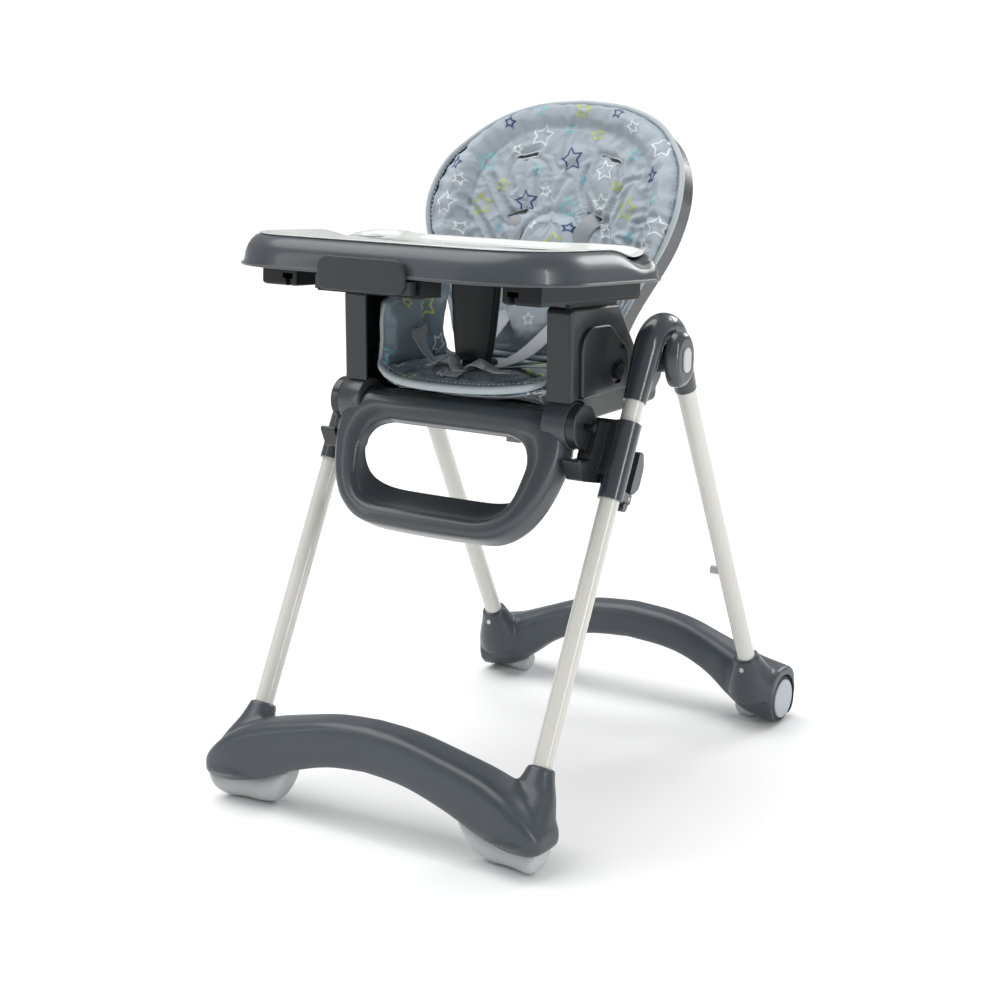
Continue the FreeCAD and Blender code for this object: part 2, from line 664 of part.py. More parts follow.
def leg_rest_loop():
    """Open calf frame with the foot bar, hubs and the cross bar that it turns on."""
    outer = ((-196, -14, 8), (-196, -70, 90), (-150, -195, 58), (150, -195, 58), (196, -70, 90), (196, -14, 8))
    front = ((-154, -26, 44), (-140, -163, 46), (140, -163, 46), (154, -26, 44))
    back = ((-152, -28, 42), (-136, -123, 40), (136, -123, 40), (152, -28, 42))
    opening = Part.makeLoft([xz_wire(front, -30), xz_wire(back, 26)], True, True)
    loop = plate_xz(outer, -26, 22).cut(opening)
    loop = softened(loop, 9.0, lambda e: e.BoundBox.YMax < -25.9 or e.BoundBox.YMin > 21.9)
    loop = loop.cut(rod_x(36.0, -210, 210, 0, 0))
    for _, side in SIDES:
        hub = rod_x(36.0, 166.0, 208.0, 0, 0)
        loop = loop.fuse(mirrored(hub, side))
    loop = loop.fuse(rod_x(24.0, -166.0, 166.0, 0, 0))
    bridge = box(-164, 164, -22, 14, -34, 0).cut(opening)
    loop = loop.fuse(bridge).fuse(plate_xz(((-172, -40, 2), (-172, 13, 8), (172, 13, 8), (172, -40, 2)), -26, -17))
    loop = loop.cut(opening)
    pocket = plate_xz(((-184, -38, 6), (-184, -72, 60), (-164, -120, 8), (164, -120, 8), (184, -72, 60),
                       (184, -38, 6)), -8, 24)
    loop = loop.cut(pocket)
    for _, side in SIDES:
        loop = loop.cut(mirrored(rod_x(LEG_REST_PIN_R + RUNNING, 190, 220, 0, 0), side))
    return in_leg_rest_frame(loop)


def leg_rest_pin():
    return rod_x(LEG_REST_PIN_R, 190.2, 239.0, LEG_REST_Y, LEG_REST_Z)


# ---------------------------------------------------------------- tray
def in_tray_frame(shape):
    return turned(shape, -TRAY_TILT, TRAY_Y, TRAY_Z)


def tray_outline(inset, z):
    """Tray seen from above: straight front, big front corners, hollowed towards the child."""
    half = TRAY_HALF_X - inset
    front = TRAY_FRONT + inset
    rear = TRAY_REAR - inset
    corners = (
        (-half, front, TRAY_CORNER - inset), (half, front, TRAY_CORNER - inset),
        (half, rear, 46 - inset * 0.6), (150 + inset, rear, 40 + inset * 0.6),
        (120, 138 - inset, 60), (-120, 138 - inset, 60),
        (-150 - inset, rear, 40 + inset * 0.6), (-half, rear, 46 - inset * 0.6),
    )
    return rounded_wire(corners, lambda a, b: V(a, b, z))


def tray_slab(levels):
    return Part.makeLoft([tray_outline(inset, z) for inset, z in levels], True, True)


def tray_body():
    outer = tray_slab(((0, 0), (2, 18), (9, 40), (20, TRAY_TOP)))
    under = tray_slab(((4, -1), (6, 18), (13, TRAY_UNDER)))
    dish = tray_slab(((34, TRAY_TOP - 10), (30, TRAY_TOP + 1)))
    scoop = Part.makeCylinder(62, 60, V(TRAY_HALF_X + 12, 104, TRAY_TOP + 36), V(-1, 0, 0))
    body = outer.cut(under).cut(dish)
    for _, side in SIDES:
        body = body.cut(mirrored(scoop, side))
    return in_tray_frame(body)


def tray_insert():
    """Thin removable inner tray that drops into the dish and laps over its rim."""
    floor = tray_slab(((35, TRAY_TOP - 9.5), (31, TRAY_TOP + 0.5)))
    lip = tray_slab(((27, TRAY_TOP + 0.5), (29, TRAY_TOP + 3)))
    hollow = tray_slab(((38, TRAY_TOP - 7), (34, TRAY_TOP + 4)))
    return in_tray_frame(floor.fuse(lip).cut(hollow))


def tray_channel():
    """Channel under the tray that grips the rail on one arm."""
    outer = box(182, 246, -104, 172, -30, TRAY_UNDER)
    outer = softened(outer, 6.0, lambda e: e.BoundBox.ZMax < -29.9)
    hollow = box(185, 243, -101, 169, -8, TRAY_UNDER + 1)
    slot = box(189.4, 208.6, -110, 180, -18.8, -11.2)
    neck = box(193.4, 202.6, -110, 180, -32, -18)
    side_hollow = box(213, 243, -101, 169, -27, -6)
    return in_tray_frame(outer.cut(hollow).cut(slot).cut(neck).cut(side_hollow))


def crotch_post():
    """Tapered post under the tray that keeps the child from sliding out."""
    wires = []
    for z, half_x, half_y in ((-22, 41, 16), (-60, 38, 15), (-110, 33, 14), (-138, 29, 12)):
        wires.append(squircle(V(0, 104, z), half_x, half_y, X_AXIS, Y_AXIS, 4.0))
    post = Part.makeLoft(wires, True, False)
    corners = ((-86, 80, 10), (86, 80, 10), (86, 124, 10), (-86, 124, 10))
    block = plate_xy(corners, -22, TRAY_UNDER)
    hollow = plate_xy(((-82, 84, 6), (82, 84, 6), (82, 120, 6), (-82, 120, 6)), -18, TRAY_UNDER + 1)
    return in_tray_frame(block.cut(hollow).fuse(post))


def tray_release():
    """Front grip: an oblong plaque on a shank that reaches back under the tray."""
    plaque = plate_xz(((-76, -22, 16), (76, -22, 16), (76, 26, 20), (-76, 26, 20)), TRAY_FRONT - 8, TRAY_FRONT - 0.6)
    plaque = softened(plaque, 2.5, lambda e: e.BoundBox.YMax < TRAY_FRONT - 7.9)
    shank = box(-82, 82, TRAY_FRONT - 2, TRAY_FRONT + 40, -22, -3)
    return in_tray_frame(plaque.fuse(shank))


def release_guide():
    """Housing under the tray that the release grip slides in."""
    outer = box(-90, 90, TRAY_FRONT + 14, TRAY_FRONT + 64, -26, TRAY_UNDER)
    slot = box(-82.3, 82.3, TRAY_FRONT, TRAY_FRONT + 52, -22.3, -2.7)
    hollow = box(-86, 86, TRAY_FRONT + 18, TRAY_FRONT + 60, 1, TRAY_UNDER + 1)
    return in_tray_frame(outer.cut(slot).cut(hollow))


# ---------------------------------------------------------------- build
def main():
    os.makedirs("parts", exist_ok=True)

    def rear_screw(side):
        at = V(side * LEG_X, rear_at(SOCKET_END + 26).y - 27.5, rear_at(SOCKET_END + 26).z)
        return base_screw(at, Y_AXIS)

    def front_screw(side):
        at = V(side * LEG_X, front_at(SOCKET_END + 26).y + 29.5, front_at(SOCKET_END + 26).z)
        return base_screw(at, -Y_AXIS)

    front_screws = Part.makeCompound([front_screw(side) for _, side in SIDES])
    rear_screws = Part.makeCompound([rear_screw(side) for _, side in SIDES])
    axles = Part.makeCompound([mirrored(wheel_axle(), side) for _, side in SIDES])
    front_outer = front_base_outer()
    rear_outer = rear_base_outer()
    save("front_base", front_base(front_outer, front_screws))
    save("rear_base", rear_base(rear_outer, rear_screws, axles))
    save("front_base_screws", front_screws)
    save("rear_base_screws", rear_screws)
    save("seat_pan", seat_pan())
    save("strap_anchors", strap_anchors())
    save("strap_tail", strap_tail())
    save("seat_cushion", seat_cushion())
    save("back_shell", back_shell())
    save("back_cushion", back_cushion())
    save("recline_housing", recline_housing())
    save("recline_grip", recline_grip())
    save("buckle", buckle())
    save("lap_straps", lap_straps())
    save("leg_rest", leg_rest_loop())
    save("tray_body", tray_body())
    save("tray_insert", tray_insert())
    save("crotch_post", crotch_post())
    save("tray_release", tray_release())
    save("release_guide", release_guide())

    both_sides = {
        "front_tubes": lambda side: mirrored(front_tube(), side).cut(front_screws),
        "rear_tubes": lambda side: mirrored(leg_tube(REAR_TOP, REAR_UP), side).cut(rear_screws),
        "rear_feet": lambda side: mirrored(rear_foot(rear_outer), side),
        "tray_pegs": lambda side: mirrored(tray_peg(), side),
        "wheel_axles": lambda side: mirrored(wheel_axle(), side),
        "hinge_pins": lambda side: mirrored(hinge_pin(), side),
        "lever_pins": lambda side: mirrored(lever_pin(), side),
        "side_screws": lambda side: mirrored(side_screw(), side),
        "arm_rails": lambda side: mirrored(arm_rail(side_panel()), side),
        "recline_pins": lambda side: mirrored(recline_pin(), side),
        "shoulder_straps": shoulder_strap,
        "leg_rest_pins": lambda side: mirrored(leg_rest_pin(), side),
        "tray_channels": lambda side: mirrored(tray_channel(), side),
        "cushion_wings": lambda side: mirrored(cushion_wing(), side),
    }
    for name, make in both_sides.items():
        save(name, Part.makeCompound([make(side) for _, side in SIDES]))

    one_side = {
        "front_foot": front_foot,
        "wheel": wheel,
        "wheel_cap": wheel_cap,
        "front_shoulder": front_shoulder,
        "rear_shoulder": rear_shoulder,
        "hinge_cap": hinge_cap,
        "fold_button": fold_button,
        "sleeve": sleeve,
        "lock_pin": lock_pin,
        "height_lever": height_lever,
        "sleeve_bracket": sleeve_bracket,
        "side_panel": side_panel,
        "side_trim": side_trim,
    }
    for kind, make in one_side.items():
        for word, side in SIDES:
            save("%s_%s" % (kind, word), mirrored(make(), side))


main()
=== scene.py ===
"""Looks of a folding baby high chair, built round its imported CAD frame.

Lengths are in metres. The chair faces -Y, +Z is up and +X is its right side for
someone who stands in front of the tray.
"""
import json
import logging
import math
from dataclasses import dataclass, field
from enum import Enum
from typing import Callable, Iterable, Sequence, Union

import bmesh
import bpy
import numpy as np
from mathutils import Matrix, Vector
from mathutils.bvhtree import BVHTree


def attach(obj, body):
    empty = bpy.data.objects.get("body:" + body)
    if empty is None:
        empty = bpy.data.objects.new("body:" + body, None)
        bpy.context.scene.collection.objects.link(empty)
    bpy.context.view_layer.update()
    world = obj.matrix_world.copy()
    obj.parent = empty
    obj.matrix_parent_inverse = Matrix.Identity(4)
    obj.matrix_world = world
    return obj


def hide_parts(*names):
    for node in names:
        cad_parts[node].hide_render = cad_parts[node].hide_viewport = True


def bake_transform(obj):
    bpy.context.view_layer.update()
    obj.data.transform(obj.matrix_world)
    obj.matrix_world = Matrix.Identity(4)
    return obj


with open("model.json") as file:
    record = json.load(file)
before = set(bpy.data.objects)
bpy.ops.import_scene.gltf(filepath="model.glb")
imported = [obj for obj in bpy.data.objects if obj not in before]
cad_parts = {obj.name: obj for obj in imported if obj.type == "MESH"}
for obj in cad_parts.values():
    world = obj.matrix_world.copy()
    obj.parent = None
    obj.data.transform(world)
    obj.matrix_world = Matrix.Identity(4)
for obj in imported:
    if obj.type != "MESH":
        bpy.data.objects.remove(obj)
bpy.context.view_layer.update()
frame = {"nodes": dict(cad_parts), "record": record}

LOG = logging.getLogger("high_chair")
Colour = tuple[float, float, float]
Feed = Union[float, tuple, "bpy.types.NodeSocket"]


class Side(Enum):
    """The two sides of the chair, with the sign of X on each."""

    LEFT = -1
    RIGHT = 1

    @property
    def word(self) -> str:
        """The side's name as the CAD nodes spell it."""
        return self.name.lower()


# ------------------------------------------------------------------ node graphs
class Graph:
    """Adds nodes to one node tree and joins them."""

    def __init__(self, tree: bpy.types.NodeTree) -> None:
        """Wraps a tree.

        Args:
            tree: the material's tree or a node group.
        """
        self.tree = tree

    def add(self, kind: str, feeds: dict | None = None, **settings: object) -> bpy.types.Node:
        """Adds one shader node.

        Args:
            kind: the node's type without its ShaderNode prefix.
            feeds: input name or index to a value or a socket.
            settings: attributes of the node.

        Returns:
            The new node.
        """
        node = self.tree.nodes.new("ShaderNode" + kind)
        for key, value in settings.items():
            setattr(node, key, value)
        for key, value in (feeds or {}).items():
            self.feed(node.inputs[key], value)
        return node

    def feed(self, socket: bpy.types.NodeSocket, value: Feed) -> None:
        """Links a socket to an input, or sets the input's own value.

        Args:
            socket: the input.
            value: a socket to link, or a plain value.
        """
        if isinstance(value, bpy.types.NodeSocket):
            self.tree.links.new(value, socket)
        else:
            socket.default_value = value

    def math(self, operation: str, *values: Feed, clamp: bool = False) -> bpy.types.NodeSocket:
        """Result of a Math node.

        Args:
            operation: the node's operation.
            values: its inputs in order.
            clamp: whether it stays in 0 to 1.

        Returns:
            The result's socket.
        """
        node = self.add("Math", operation=operation, use_clamp=clamp)
        for i, value in enumerate(values):
            self.feed(node.inputs[i], value)
        return node.outputs[0]

    def vector(self, operation: str, *values: Feed, out: int = 0) -> bpy.types.NodeSocket:
        """Result of a Vector Math node.

        Args:
            operation: the node's operation.
            values: its inputs in order.
            out: number of the output.

        Returns:
            The result's socket.
        """
        node = self.add("VectorMath", operation=operation)
        for i, value in enumerate(values):
            name = "Scale" if operation == "SCALE" and i == 1 else i
            self.feed(node.inputs[name], value)
        return node.outputs[out]

    def mix(self, share: Feed, a: Feed, b: Feed, blend: str = "MIX") -> bpy.types.NodeSocket:
        """Colour between a and b.

        Args:
            share: how much of b shows.
            a: the first colour.
            b: the second colour.
            blend: how they mix.

        Returns:
            The colour's socket.
        """
        node = self.add("Mix", data_type="RGBA", blend_type=blend)
        for name, value in (("Factor_Float", share), ("A_Color", a), ("B_Color", b)):
            socket = next(s for s in node.inputs if s.identifier == name)
            if isinstance(value, tuple) and len(value) == 3:
                value = (*value, 1.0)
            self.feed(socket, value)
        return next(s for s in node.outputs if s.identifier == "Result_Color")

    def spread(self, value: Feed, low: float, high: float, to_low: float, to_high: float
               ) -> bpy.types.NodeSocket:
        """Value carried from one range to another, with clamping."""
        return self.add("MapRange", {0: value, 1: low, 2: high, 3: to_low, 4: to_high}).outputs[0]

    def noise(self, place: Feed, scale: Feed, detail: float = 2.0) -> bpy.types.NodeSocket:
        """Noise value at a place."""
        return self.add("TexNoise", {"Vector": place, "Scale": scale, "Detail": detail}).outputs[0]


class Effects:
    """Node groups that several finishes share, each built once."""

    _made: dict[str, bpy.types.NodeTree] = {}

    @classmethod
    def place(cls, graph: Graph, name: str, feeds: dict | None = None) -> bpy.types.Node:
        """Puts a group into a tree.

        Args:
            graph: the tree's graph.
            name: the group's name, which is also the name of its builder.
            feeds: the group's inputs.

        Returns:
            The group node.
        """
        if name not in cls._made:
            cls._made[name] = getattr(cls, "_" + name)()
        node = graph.tree.nodes.new("ShaderNodeGroup")
        node.node_tree = cls._made[name]
        for key, value in (feeds or {}).items():
            graph.feed(node.inputs[key], value)
        return node

    @staticmethod
    def _start(name: str, inputs: dict[str, float | tuple], outputs: dict[str, str]
               ) -> tuple[Graph, bpy.types.Node, bpy.types.Node]:
        """Makes an empty group with named sockets.

        Args:
            name: the group's name.
            inputs: name to default value of each input.
            outputs: name to kind of each output.

        Returns:
            The group's graph, its input node and its output node.
        """
        tree = bpy.data.node_groups.new(name, "ShaderNodeTree")
        for key, value in inputs.items():
            kind = "NodeSocketVector" if isinstance(value, tuple) else "NodeSocketFloat"
            socket = tree.interface.new_socket(key, in_out="INPUT", socket_type=kind)
            socket.default_value = value
        for key, kind in outputs.items():
            tree.interface.new_socket(key, in_out="OUTPUT", socket_type="NodeSocket" + kind)
        graph = Graph(tree)
        return graph, tree.nodes.new("NodeGroupInput"), tree.nodes.new("NodeGroupOutput")

    @classmethod
    def _mould_grain(cls) -> bpy.types.NodeTree:
        """Fine spark-eroded grain and slow tone changes of a moulded surface.

        Returns:
            The group's node tree.
        """
        graph, given, out = cls._start("mould_grain", {"Scale": 900.0}, {"Height": "Float", "Tone": "Float"})
        place = graph.add("TexCoord").outputs["Object"]
        fine = graph.noise(place, given.outputs["Scale"], 3.0)
        slow = graph.noise(place, 7.0, 4.0)
        graph.feed(out.inputs["Height"], fine)
        graph.feed(out.inputs["Tone"], slow)
        return graph.tree

    @classmethod
    def _soft_edge(cls) -> bpy.types.NodeTree:
        """Rounded normal of a moulded edge, and a mask of the edges that get rubbed.

        Returns:
            The group's node tree.
        """
        graph, given, out = cls._start("soft_edge", {"Radius": 0.001, "Wear": 0.4},
                                       {"Normal": "Vector", "Mask": "Float"})
        bevel = graph.add("Bevel", {"Radius": given.outputs["Radius"]}, samples=4)
        facing = graph.vector("DOT_PRODUCT", bevel.outputs[0], graph.add("NewGeometry").outputs["Normal"],
                              out=1)
        edge = graph.spread(facing, 0.80, 0.98, 1.0, 0.0)
        patch = graph.spread(graph.noise(graph.add("TexCoord").outputs["Object"], 60.0, 4.0), 0.42, 0.62, 0.2,
                             1.0)
        graph.feed(out.inputs["Normal"], bevel.outputs[0])
        graph.feed(out.inputs["Mask"], graph.math("MULTIPLY", graph.math("MULTIPLY", edge, patch),
                                                  given.outputs["Wear"], clamp=True))
        return graph.tree

    @classmethod
    def _dust(cls) -> bpy.types.NodeTree:
        """Mask of thin dust on faces that look up.

        Returns:
            The group's node tree.
        """
        graph, given, out = cls._start("dust", {"Amount": 0.2}, {"Mask": "Float"})
        up = graph.add("SeparateXYZ", {0: graph.add("NewGeometry").outputs["Normal"]}).outputs[2]
        flat = graph.spread(up, 0.2, 1.0, 0.0, 1.0)
        patch = graph.spread(graph.noise(graph.add("TexCoord").outputs["Object"], 22.0, 6.0), 0.4, 0.7, 0.15,
                             1.0)
        graph.feed(out.inputs["Mask"], graph.math("MULTIPLY", graph.math("MULTIPLY", flat, patch),
                                                  given.outputs["Amount"], clamp=True))
        return graph.tree

    @classmethod
    def _weave(cls) -> bpy.types.NodeTree:
        """Plain weave of crossing threads, from a flat coordinate in metres.

        Returns:
            The group's node tree.
        """
        graph, given, out = cls._start("weave", {"Place": (0.0, 0.0, 0.0), "Threads": 1800.0},
                                       {"Height": "Float", "Tone": "Float"})
        waves = []
        for direction in ("X", "Y"):
            wave = graph.add("TexWave", {"Vector": given.outputs["Place"], "Scale": 1.0, "Distortion": 0.6,
                                         "Detail": 1.0, "Detail Scale": 2.0},
                             wave_type="BANDS", bands_direction=direction)
            graph.feed(wave.inputs["Scale"], graph.math("MULTIPLY", given.outputs["Threads"], 0.318))
            waves.append(wave.outputs[1])
        graph.feed(out.inputs["Height"], graph.math("MAXIMUM", *waves))
        graph.feed(out.inputs["Tone"], graph.math("MULTIPLY", *waves))
        return graph.tree

    @classmethod
    def _star_print(cls) -> bpy.types.NodeTree:
        """Scattered outline stars in four inks, one to a cell of a staggered grid.

        Returns:
            The group's node tree.
        """
        graph, given, out = cls._start(
            "star_print",
            {"Place": (0.0, 0.0, 0.0), "Cell": 0.05, "Seed": 0.0, "Small": 0.17, "Large": 0.33, "Line": 0.028,
             "Share": 0.9},
            {"Ink": "Color", "Mask": "Float"})
        parts = graph.add("SeparateXYZ", {0: given.outputs["Place"]}).outputs
        v = graph.math("DIVIDE", parts[1], given.outputs["Cell"])
        row = graph.math("FLOOR", v)
        stagger = graph.math("MULTIPLY", graph.math("FLOORED_MODULO", row, 2.0), 0.5)
        u = graph.math("ADD", graph.math("DIVIDE", parts[0], given.outputs["Cell"]), stagger)
        column = graph.math("FLOOR", u)
        cell = graph.add("CombineXYZ", {0: column, 1: row, 2: given.outputs["Seed"]}).outputs[0]
        chance = graph.add("TexWhiteNoise", {0: cell}, noise_dimensions="3D")
        dice = graph.add("SeparateXYZ", {0: chance.outputs["Color"]}).outputs
        size = graph.math("MULTIPLY_ADD", dice[2], graph.math("SUBTRACT", given.outputs["Large"],
                                                              given.outputs["Small"]), given.outputs["Small"])
        room = graph.math("SUBTRACT", 0.47, size)
        place = []
        for along, corner, roll in ((u, column, dice[0]), (v, row, dice[1])):
            shift = graph.math("MULTIPLY", graph.math("MULTIPLY_ADD", roll, 2.0, -1.0), room)
            place.append(graph.math("SUBTRACT",
                                    graph.math("SUBTRACT", graph.math("SUBTRACT", along, corner), 0.5),
                                    shift))
        fifth = math.radians(72.0)
        turn = graph.math("MULTIPLY", chance.outputs["Value"], 6.0)
        angle = graph.math("ADD", graph.math("ARCTAN2", place[1], place[0]), turn)
        folded = graph.math("ABSOLUTE",
                            graph.math("SUBTRACT", graph.math("FLOORED_MODULO", angle, fifth), fifth / 2))
        reach = graph.math("SQRT", graph.math("ADD", graph.math("MULTIPLY", place[0], place[0]),
                                              graph.math("MULTIPLY", place[1], place[1])))
        along = graph.math("MULTIPLY", reach, graph.math("COSINE", folded))
        across = graph.math("MULTIPLY", reach, graph.math("SINE", folded))
        # Edge of the star from a notch on the fold line's start to a tip at its end.
        notch, tip = 0.50, (math.cos(fifth / 2), math.sin(fifth / 2))
        run = Vector((tip[0] - notch, tip[1])).normalized()
        off = graph.math("SUBTRACT", graph.math("MULTIPLY", graph.math("SUBTRACT", along, graph.math(
            "MULTIPLY", size, notch)), run.y), graph.math("MULTIPLY", across, run.x))
        line = graph.math("LESS_THAN", graph.math("ABSOLUTE", off), given.outputs["Line"])
        inside = graph.math("LESS_THAN", reach, graph.math("MULTIPLY", size, 1.06))
        shown = graph.math("LESS_THAN",
                           graph.math("FRACT", graph.math("MULTIPLY", chance.outputs["Value"], 7.13)),
                           given.outputs["Share"])
        graph.feed(out.inputs["Mask"], graph.math("MULTIPLY", graph.math("MULTIPLY", line, inside), shown))
        ramp = graph.add("ValToRGB", {0: graph.math("FRACT", graph.math("MULTIPLY", dice[0], 5.3))})
        ramp.color_ramp.interpolation = "CONSTANT"
        inks = ((0.0, (0.86, 0.89, 0.93)), (0.34, (0.035, 0.095, 0.26)), (0.58, (0.62, 0.68, 0.16)),
                (0.80, (0.20, 0.55, 0.64)))
        stops = ramp.color_ramp.elements
        for i, (at, ink) in enumerate(inks):
            stop = stops[i] if i < len(stops) else stops.new(at)
            stop.position, stop.color = at, (*ink, 1.0)
        graph.feed(out.inputs["Ink"], ramp.outputs[0])
        return graph.tree


# ------------------------------------------------------------------ finishes
@dataclass(frozen=True)
class Finish:
    """A material with its own name and the record slot that it belongs to."""

    name: str
    slot: str
    colour: Colour

    def material(self) -> bpy.types.Material:
        """The Blender material, built the first time that it is asked for.

        Returns:
            The material.
        """
        found = bpy.data.materials.get(self.name)
        if found is None:
            found = bpy.data.materials.new(self.name)
            found.use_nodes = True
            found.node_tree.nodes.clear()
            graph = Graph(found.node_tree)
            shader = graph.add("BsdfPrincipled")
            graph.add("OutputMaterial", {0: shader.outputs[0]})
            self.dress(graph, shader)
        return found

    def dress(self, graph: Graph, shader: bpy.types.Node) -> None:
        """Feeds the shader. Each kind of finish has its own."""
        raise NotImplementedError


@dataclass(frozen=True)
class Plastic(Finish):
    """Moulded plastic: grain, slow tone changes, rounded and rubbed edges and a little dust."""

    roughness: float = 0.36
    grain: float = 0.10
    coat: float = 0.0
    wear: float = 0.35
    dust: float = 0.10
    edge: float = 0.0012
    shine: float = 0.5

    def dress(self, graph: Graph, shader: bpy.types.Node) -> None:
        """Feeds the shader.

        Args:
            graph: the material's graph.
            shader: its Principled shader.
        """
        grain = Effects.place(graph, "mould_grain")
        edge = Effects.place(graph, "soft_edge", {"Radius": self.edge, "Wear": self.wear})
        dust = Effects.place(graph, "dust", {"Amount": self.dust}).outputs["Mask"]
        tone = graph.spread(grain.outputs["Tone"], 0.3, 0.7, 0.0, 1.0)
        base = graph.mix(tone, tuple(c * 0.93 for c in self.colour), tuple(c * 1.07 for c in self.colour))
        base = graph.mix(edge.outputs["Mask"], base, tuple(min(1.0, c * 1.5 + 0.02) for c in self.colour))
        base = graph.mix(dust, base, tuple(0.5 * c + 0.10 for c in self.colour))
        graph.feed(shader.inputs["Base Color"], base)
        rough = graph.spread(tone, 0.0, 1.0, self.roughness - 0.04, self.roughness + 0.04)
        graph.feed(shader.inputs["Roughness"], graph.math("ADD", rough, graph.math("MULTIPLY", dust, 0.4)))
        bump = graph.add("Bump",
                         {"Height": grain.outputs["Height"], "Strength": self.grain, "Distance": 0.0004,
                                  "Normal": edge.outputs["Normal"]})
        graph.feed(shader.inputs["Normal"], bump.outputs[0])
        shader.inputs["Specular IOR Level"].default_value = self.shine
        shader.inputs["Coat Weight"].default_value = self.coat
        shader.inputs["Coat Roughness"].default_value = 0.08


@dataclass(frozen=True)
class Paint(Finish):
    """Powder paint on steel tube: smooth, glossy, with a faint orange peel and scuffs."""

    roughness: float = 0.24

    def dress(self, graph: Graph, shader: bpy.types.Node) -> None:
        """Feeds the shader.

        Args:
            graph: the material's graph.
            shader: its Principled shader.
        """
        place = graph.add("TexCoord").outputs["Object"]
        peel = graph.noise(place, 420.0, 2.0)
        scuff = graph.spread(graph.noise(graph.vector("MULTIPLY", place, (1.0, 1.0, 0.12)), 170.0, 5.0),
                             0.60, 0.72, 0.0, 0.5)
        dust = Effects.place(graph, "dust", {"Amount": 0.12}).outputs["Mask"]
        base = graph.mix(scuff, self.colour, tuple(c * 0.90 for c in self.colour))
        graph.feed(shader.inputs["Base Color"], graph.mix(dust, base, (0.62, 0.61, 0.58)))
        graph.feed(shader.inputs["Roughness"], graph.math("MULTIPLY_ADD", scuff, 0.3, self.roughness))
        bump = graph.add("Bump", {"Height": peel, "Strength": 0.05, "Distance": 0.0005})
        graph.feed(shader.inputs["Normal"], bump.outputs[0])
        shader.inputs["Coat Weight"].default_value = 0.4
        shader.inputs["Coat Roughness"].default_value = 0.1


@dataclass(frozen=True)
class Metal(Finish):
    """Turned or brushed steel."""

    roughness: float = 0.3

    def dress(self, graph: Graph, shader: bpy.types.Node) -> None:
        """Feeds the shader.

        Args:
            graph: the material's graph.
            shader: its Principled shader.
        """
        place = graph.add("TexCoord").outputs["Object"]
        streak = graph.noise(graph.vector("MULTIPLY", place, (1.0, 1.0, 12.0)), 260.0, 3.0)
        graph.feed(shader.inputs["Base Color"],
                   graph.mix(streak, self.colour, tuple(c * 0.7 for c in self.colour)))
        graph.feed(shader.inputs["Roughness"], graph.math("MULTIPLY_ADD", streak, 0.2, self.roughness))
        shader.inputs["Metallic"].default_value = 1.0


@dataclass(frozen=True)
class Rubber(Finish):
    """Dull tyre rubber."""

    def dress(self, graph: Graph, shader: bpy.types.Node) -> None:
        """Feeds the shader.

        Args:
            graph: the material's graph.
            shader: its Principled shader.
        """
        grain = Effects.place(graph, "mould_grain", {"Scale": 500.0})
        dust = Effects.place(graph, "dust", {"Amount": 0.3}).outputs["Mask"]
        graph.feed(shader.inputs["Base Color"], graph.mix(dust, self.colour, (0.30, 0.29, 0.27)))
        graph.feed(shader.inputs["Roughness"], graph.math("MULTIPLY_ADD", grain.outputs["Tone"], 0.3, 0.5))
        bump = graph.add("Bump", {"Height": grain.outputs["Height"], "Strength": 0.3, "Distance": 0.0005})
        graph.feed(shader.inputs["Normal"], bump.outputs[0])


@dataclass(frozen=True)
class Cloth(Finish):
    """Woven fabric, plain or with the star print."""

    printed: bool = False
    threads: float = 1500.0
    sheen: float = 0.25
    roughness: float = 0.55

    def dress(self, graph: Graph, shader: bpy.types.Node) -> None:
        """Feeds the shader.

        Args:
            graph: the material's graph.
            shader: its Principled shader.
        """
        place = graph.add("UVMap", uv_map="print").outputs[0]
        weave = Effects.place(graph, "weave", {"Place": place, "Threads": self.threads})
        grain = Effects.place(graph, "mould_grain", {"Scale": 240.0})
        tone = graph.spread(grain.outputs["Tone"], 0.3, 0.7, 0.0, 1.0)
        base = graph.mix(tone, tuple(c * 0.93 for c in self.colour),
                         tuple(min(1.0, c * 1.06) for c in self.colour))
        base = graph.mix(graph.math("MULTIPLY", weave.outputs["Tone"], 0.35), base,
                         tuple(c * 0.72 for c in self.colour))
        if self.printed:
            for seed, cell, small, large, line, share in ((3.0, 0.070, 0.25, 0.31, 0.024, 0.62),
                                                          (8.0, 0.060, 0.13, 0.17, 0.018, 0.42)):
                star = Effects.place(graph, "star_print", {
                    "Place": graph.vector("ADD", place, (seed * 0.013, seed * 0.021, 0.0)), "Cell": cell,
                    "Seed": seed, "Small": small, "Large": large, "Line": line, "Share": share})
                base = graph.mix(graph.math("MULTIPLY", star.outputs["Mask"], 0.9), base, star.outputs["Ink"])
        graph.feed(shader.inputs["Base Color"], base)
        graph.feed(shader.inputs["Roughness"],
                   graph.spread(tone, 0.0, 1.0, self.roughness, self.roughness + 0.12))
        wrinkle = graph.math("MULTIPLY", graph.noise(graph.add("TexCoord").outputs["Object"], 38.0, 3.0), 3.0)
        height = graph.math("ADD", graph.math("MULTIPLY", weave.outputs["Height"], 0.25), wrinkle)
        bump = graph.add("Bump", {"Height": height, "Strength": 0.35, "Distance": 0.0007})
        graph.feed(shader.inputs["Normal"], bump.outputs[0])
        shader.inputs["Sheen Weight"].default_value = self.sheen
        shader.inputs["Sheen Roughness"].default_value = 0.5


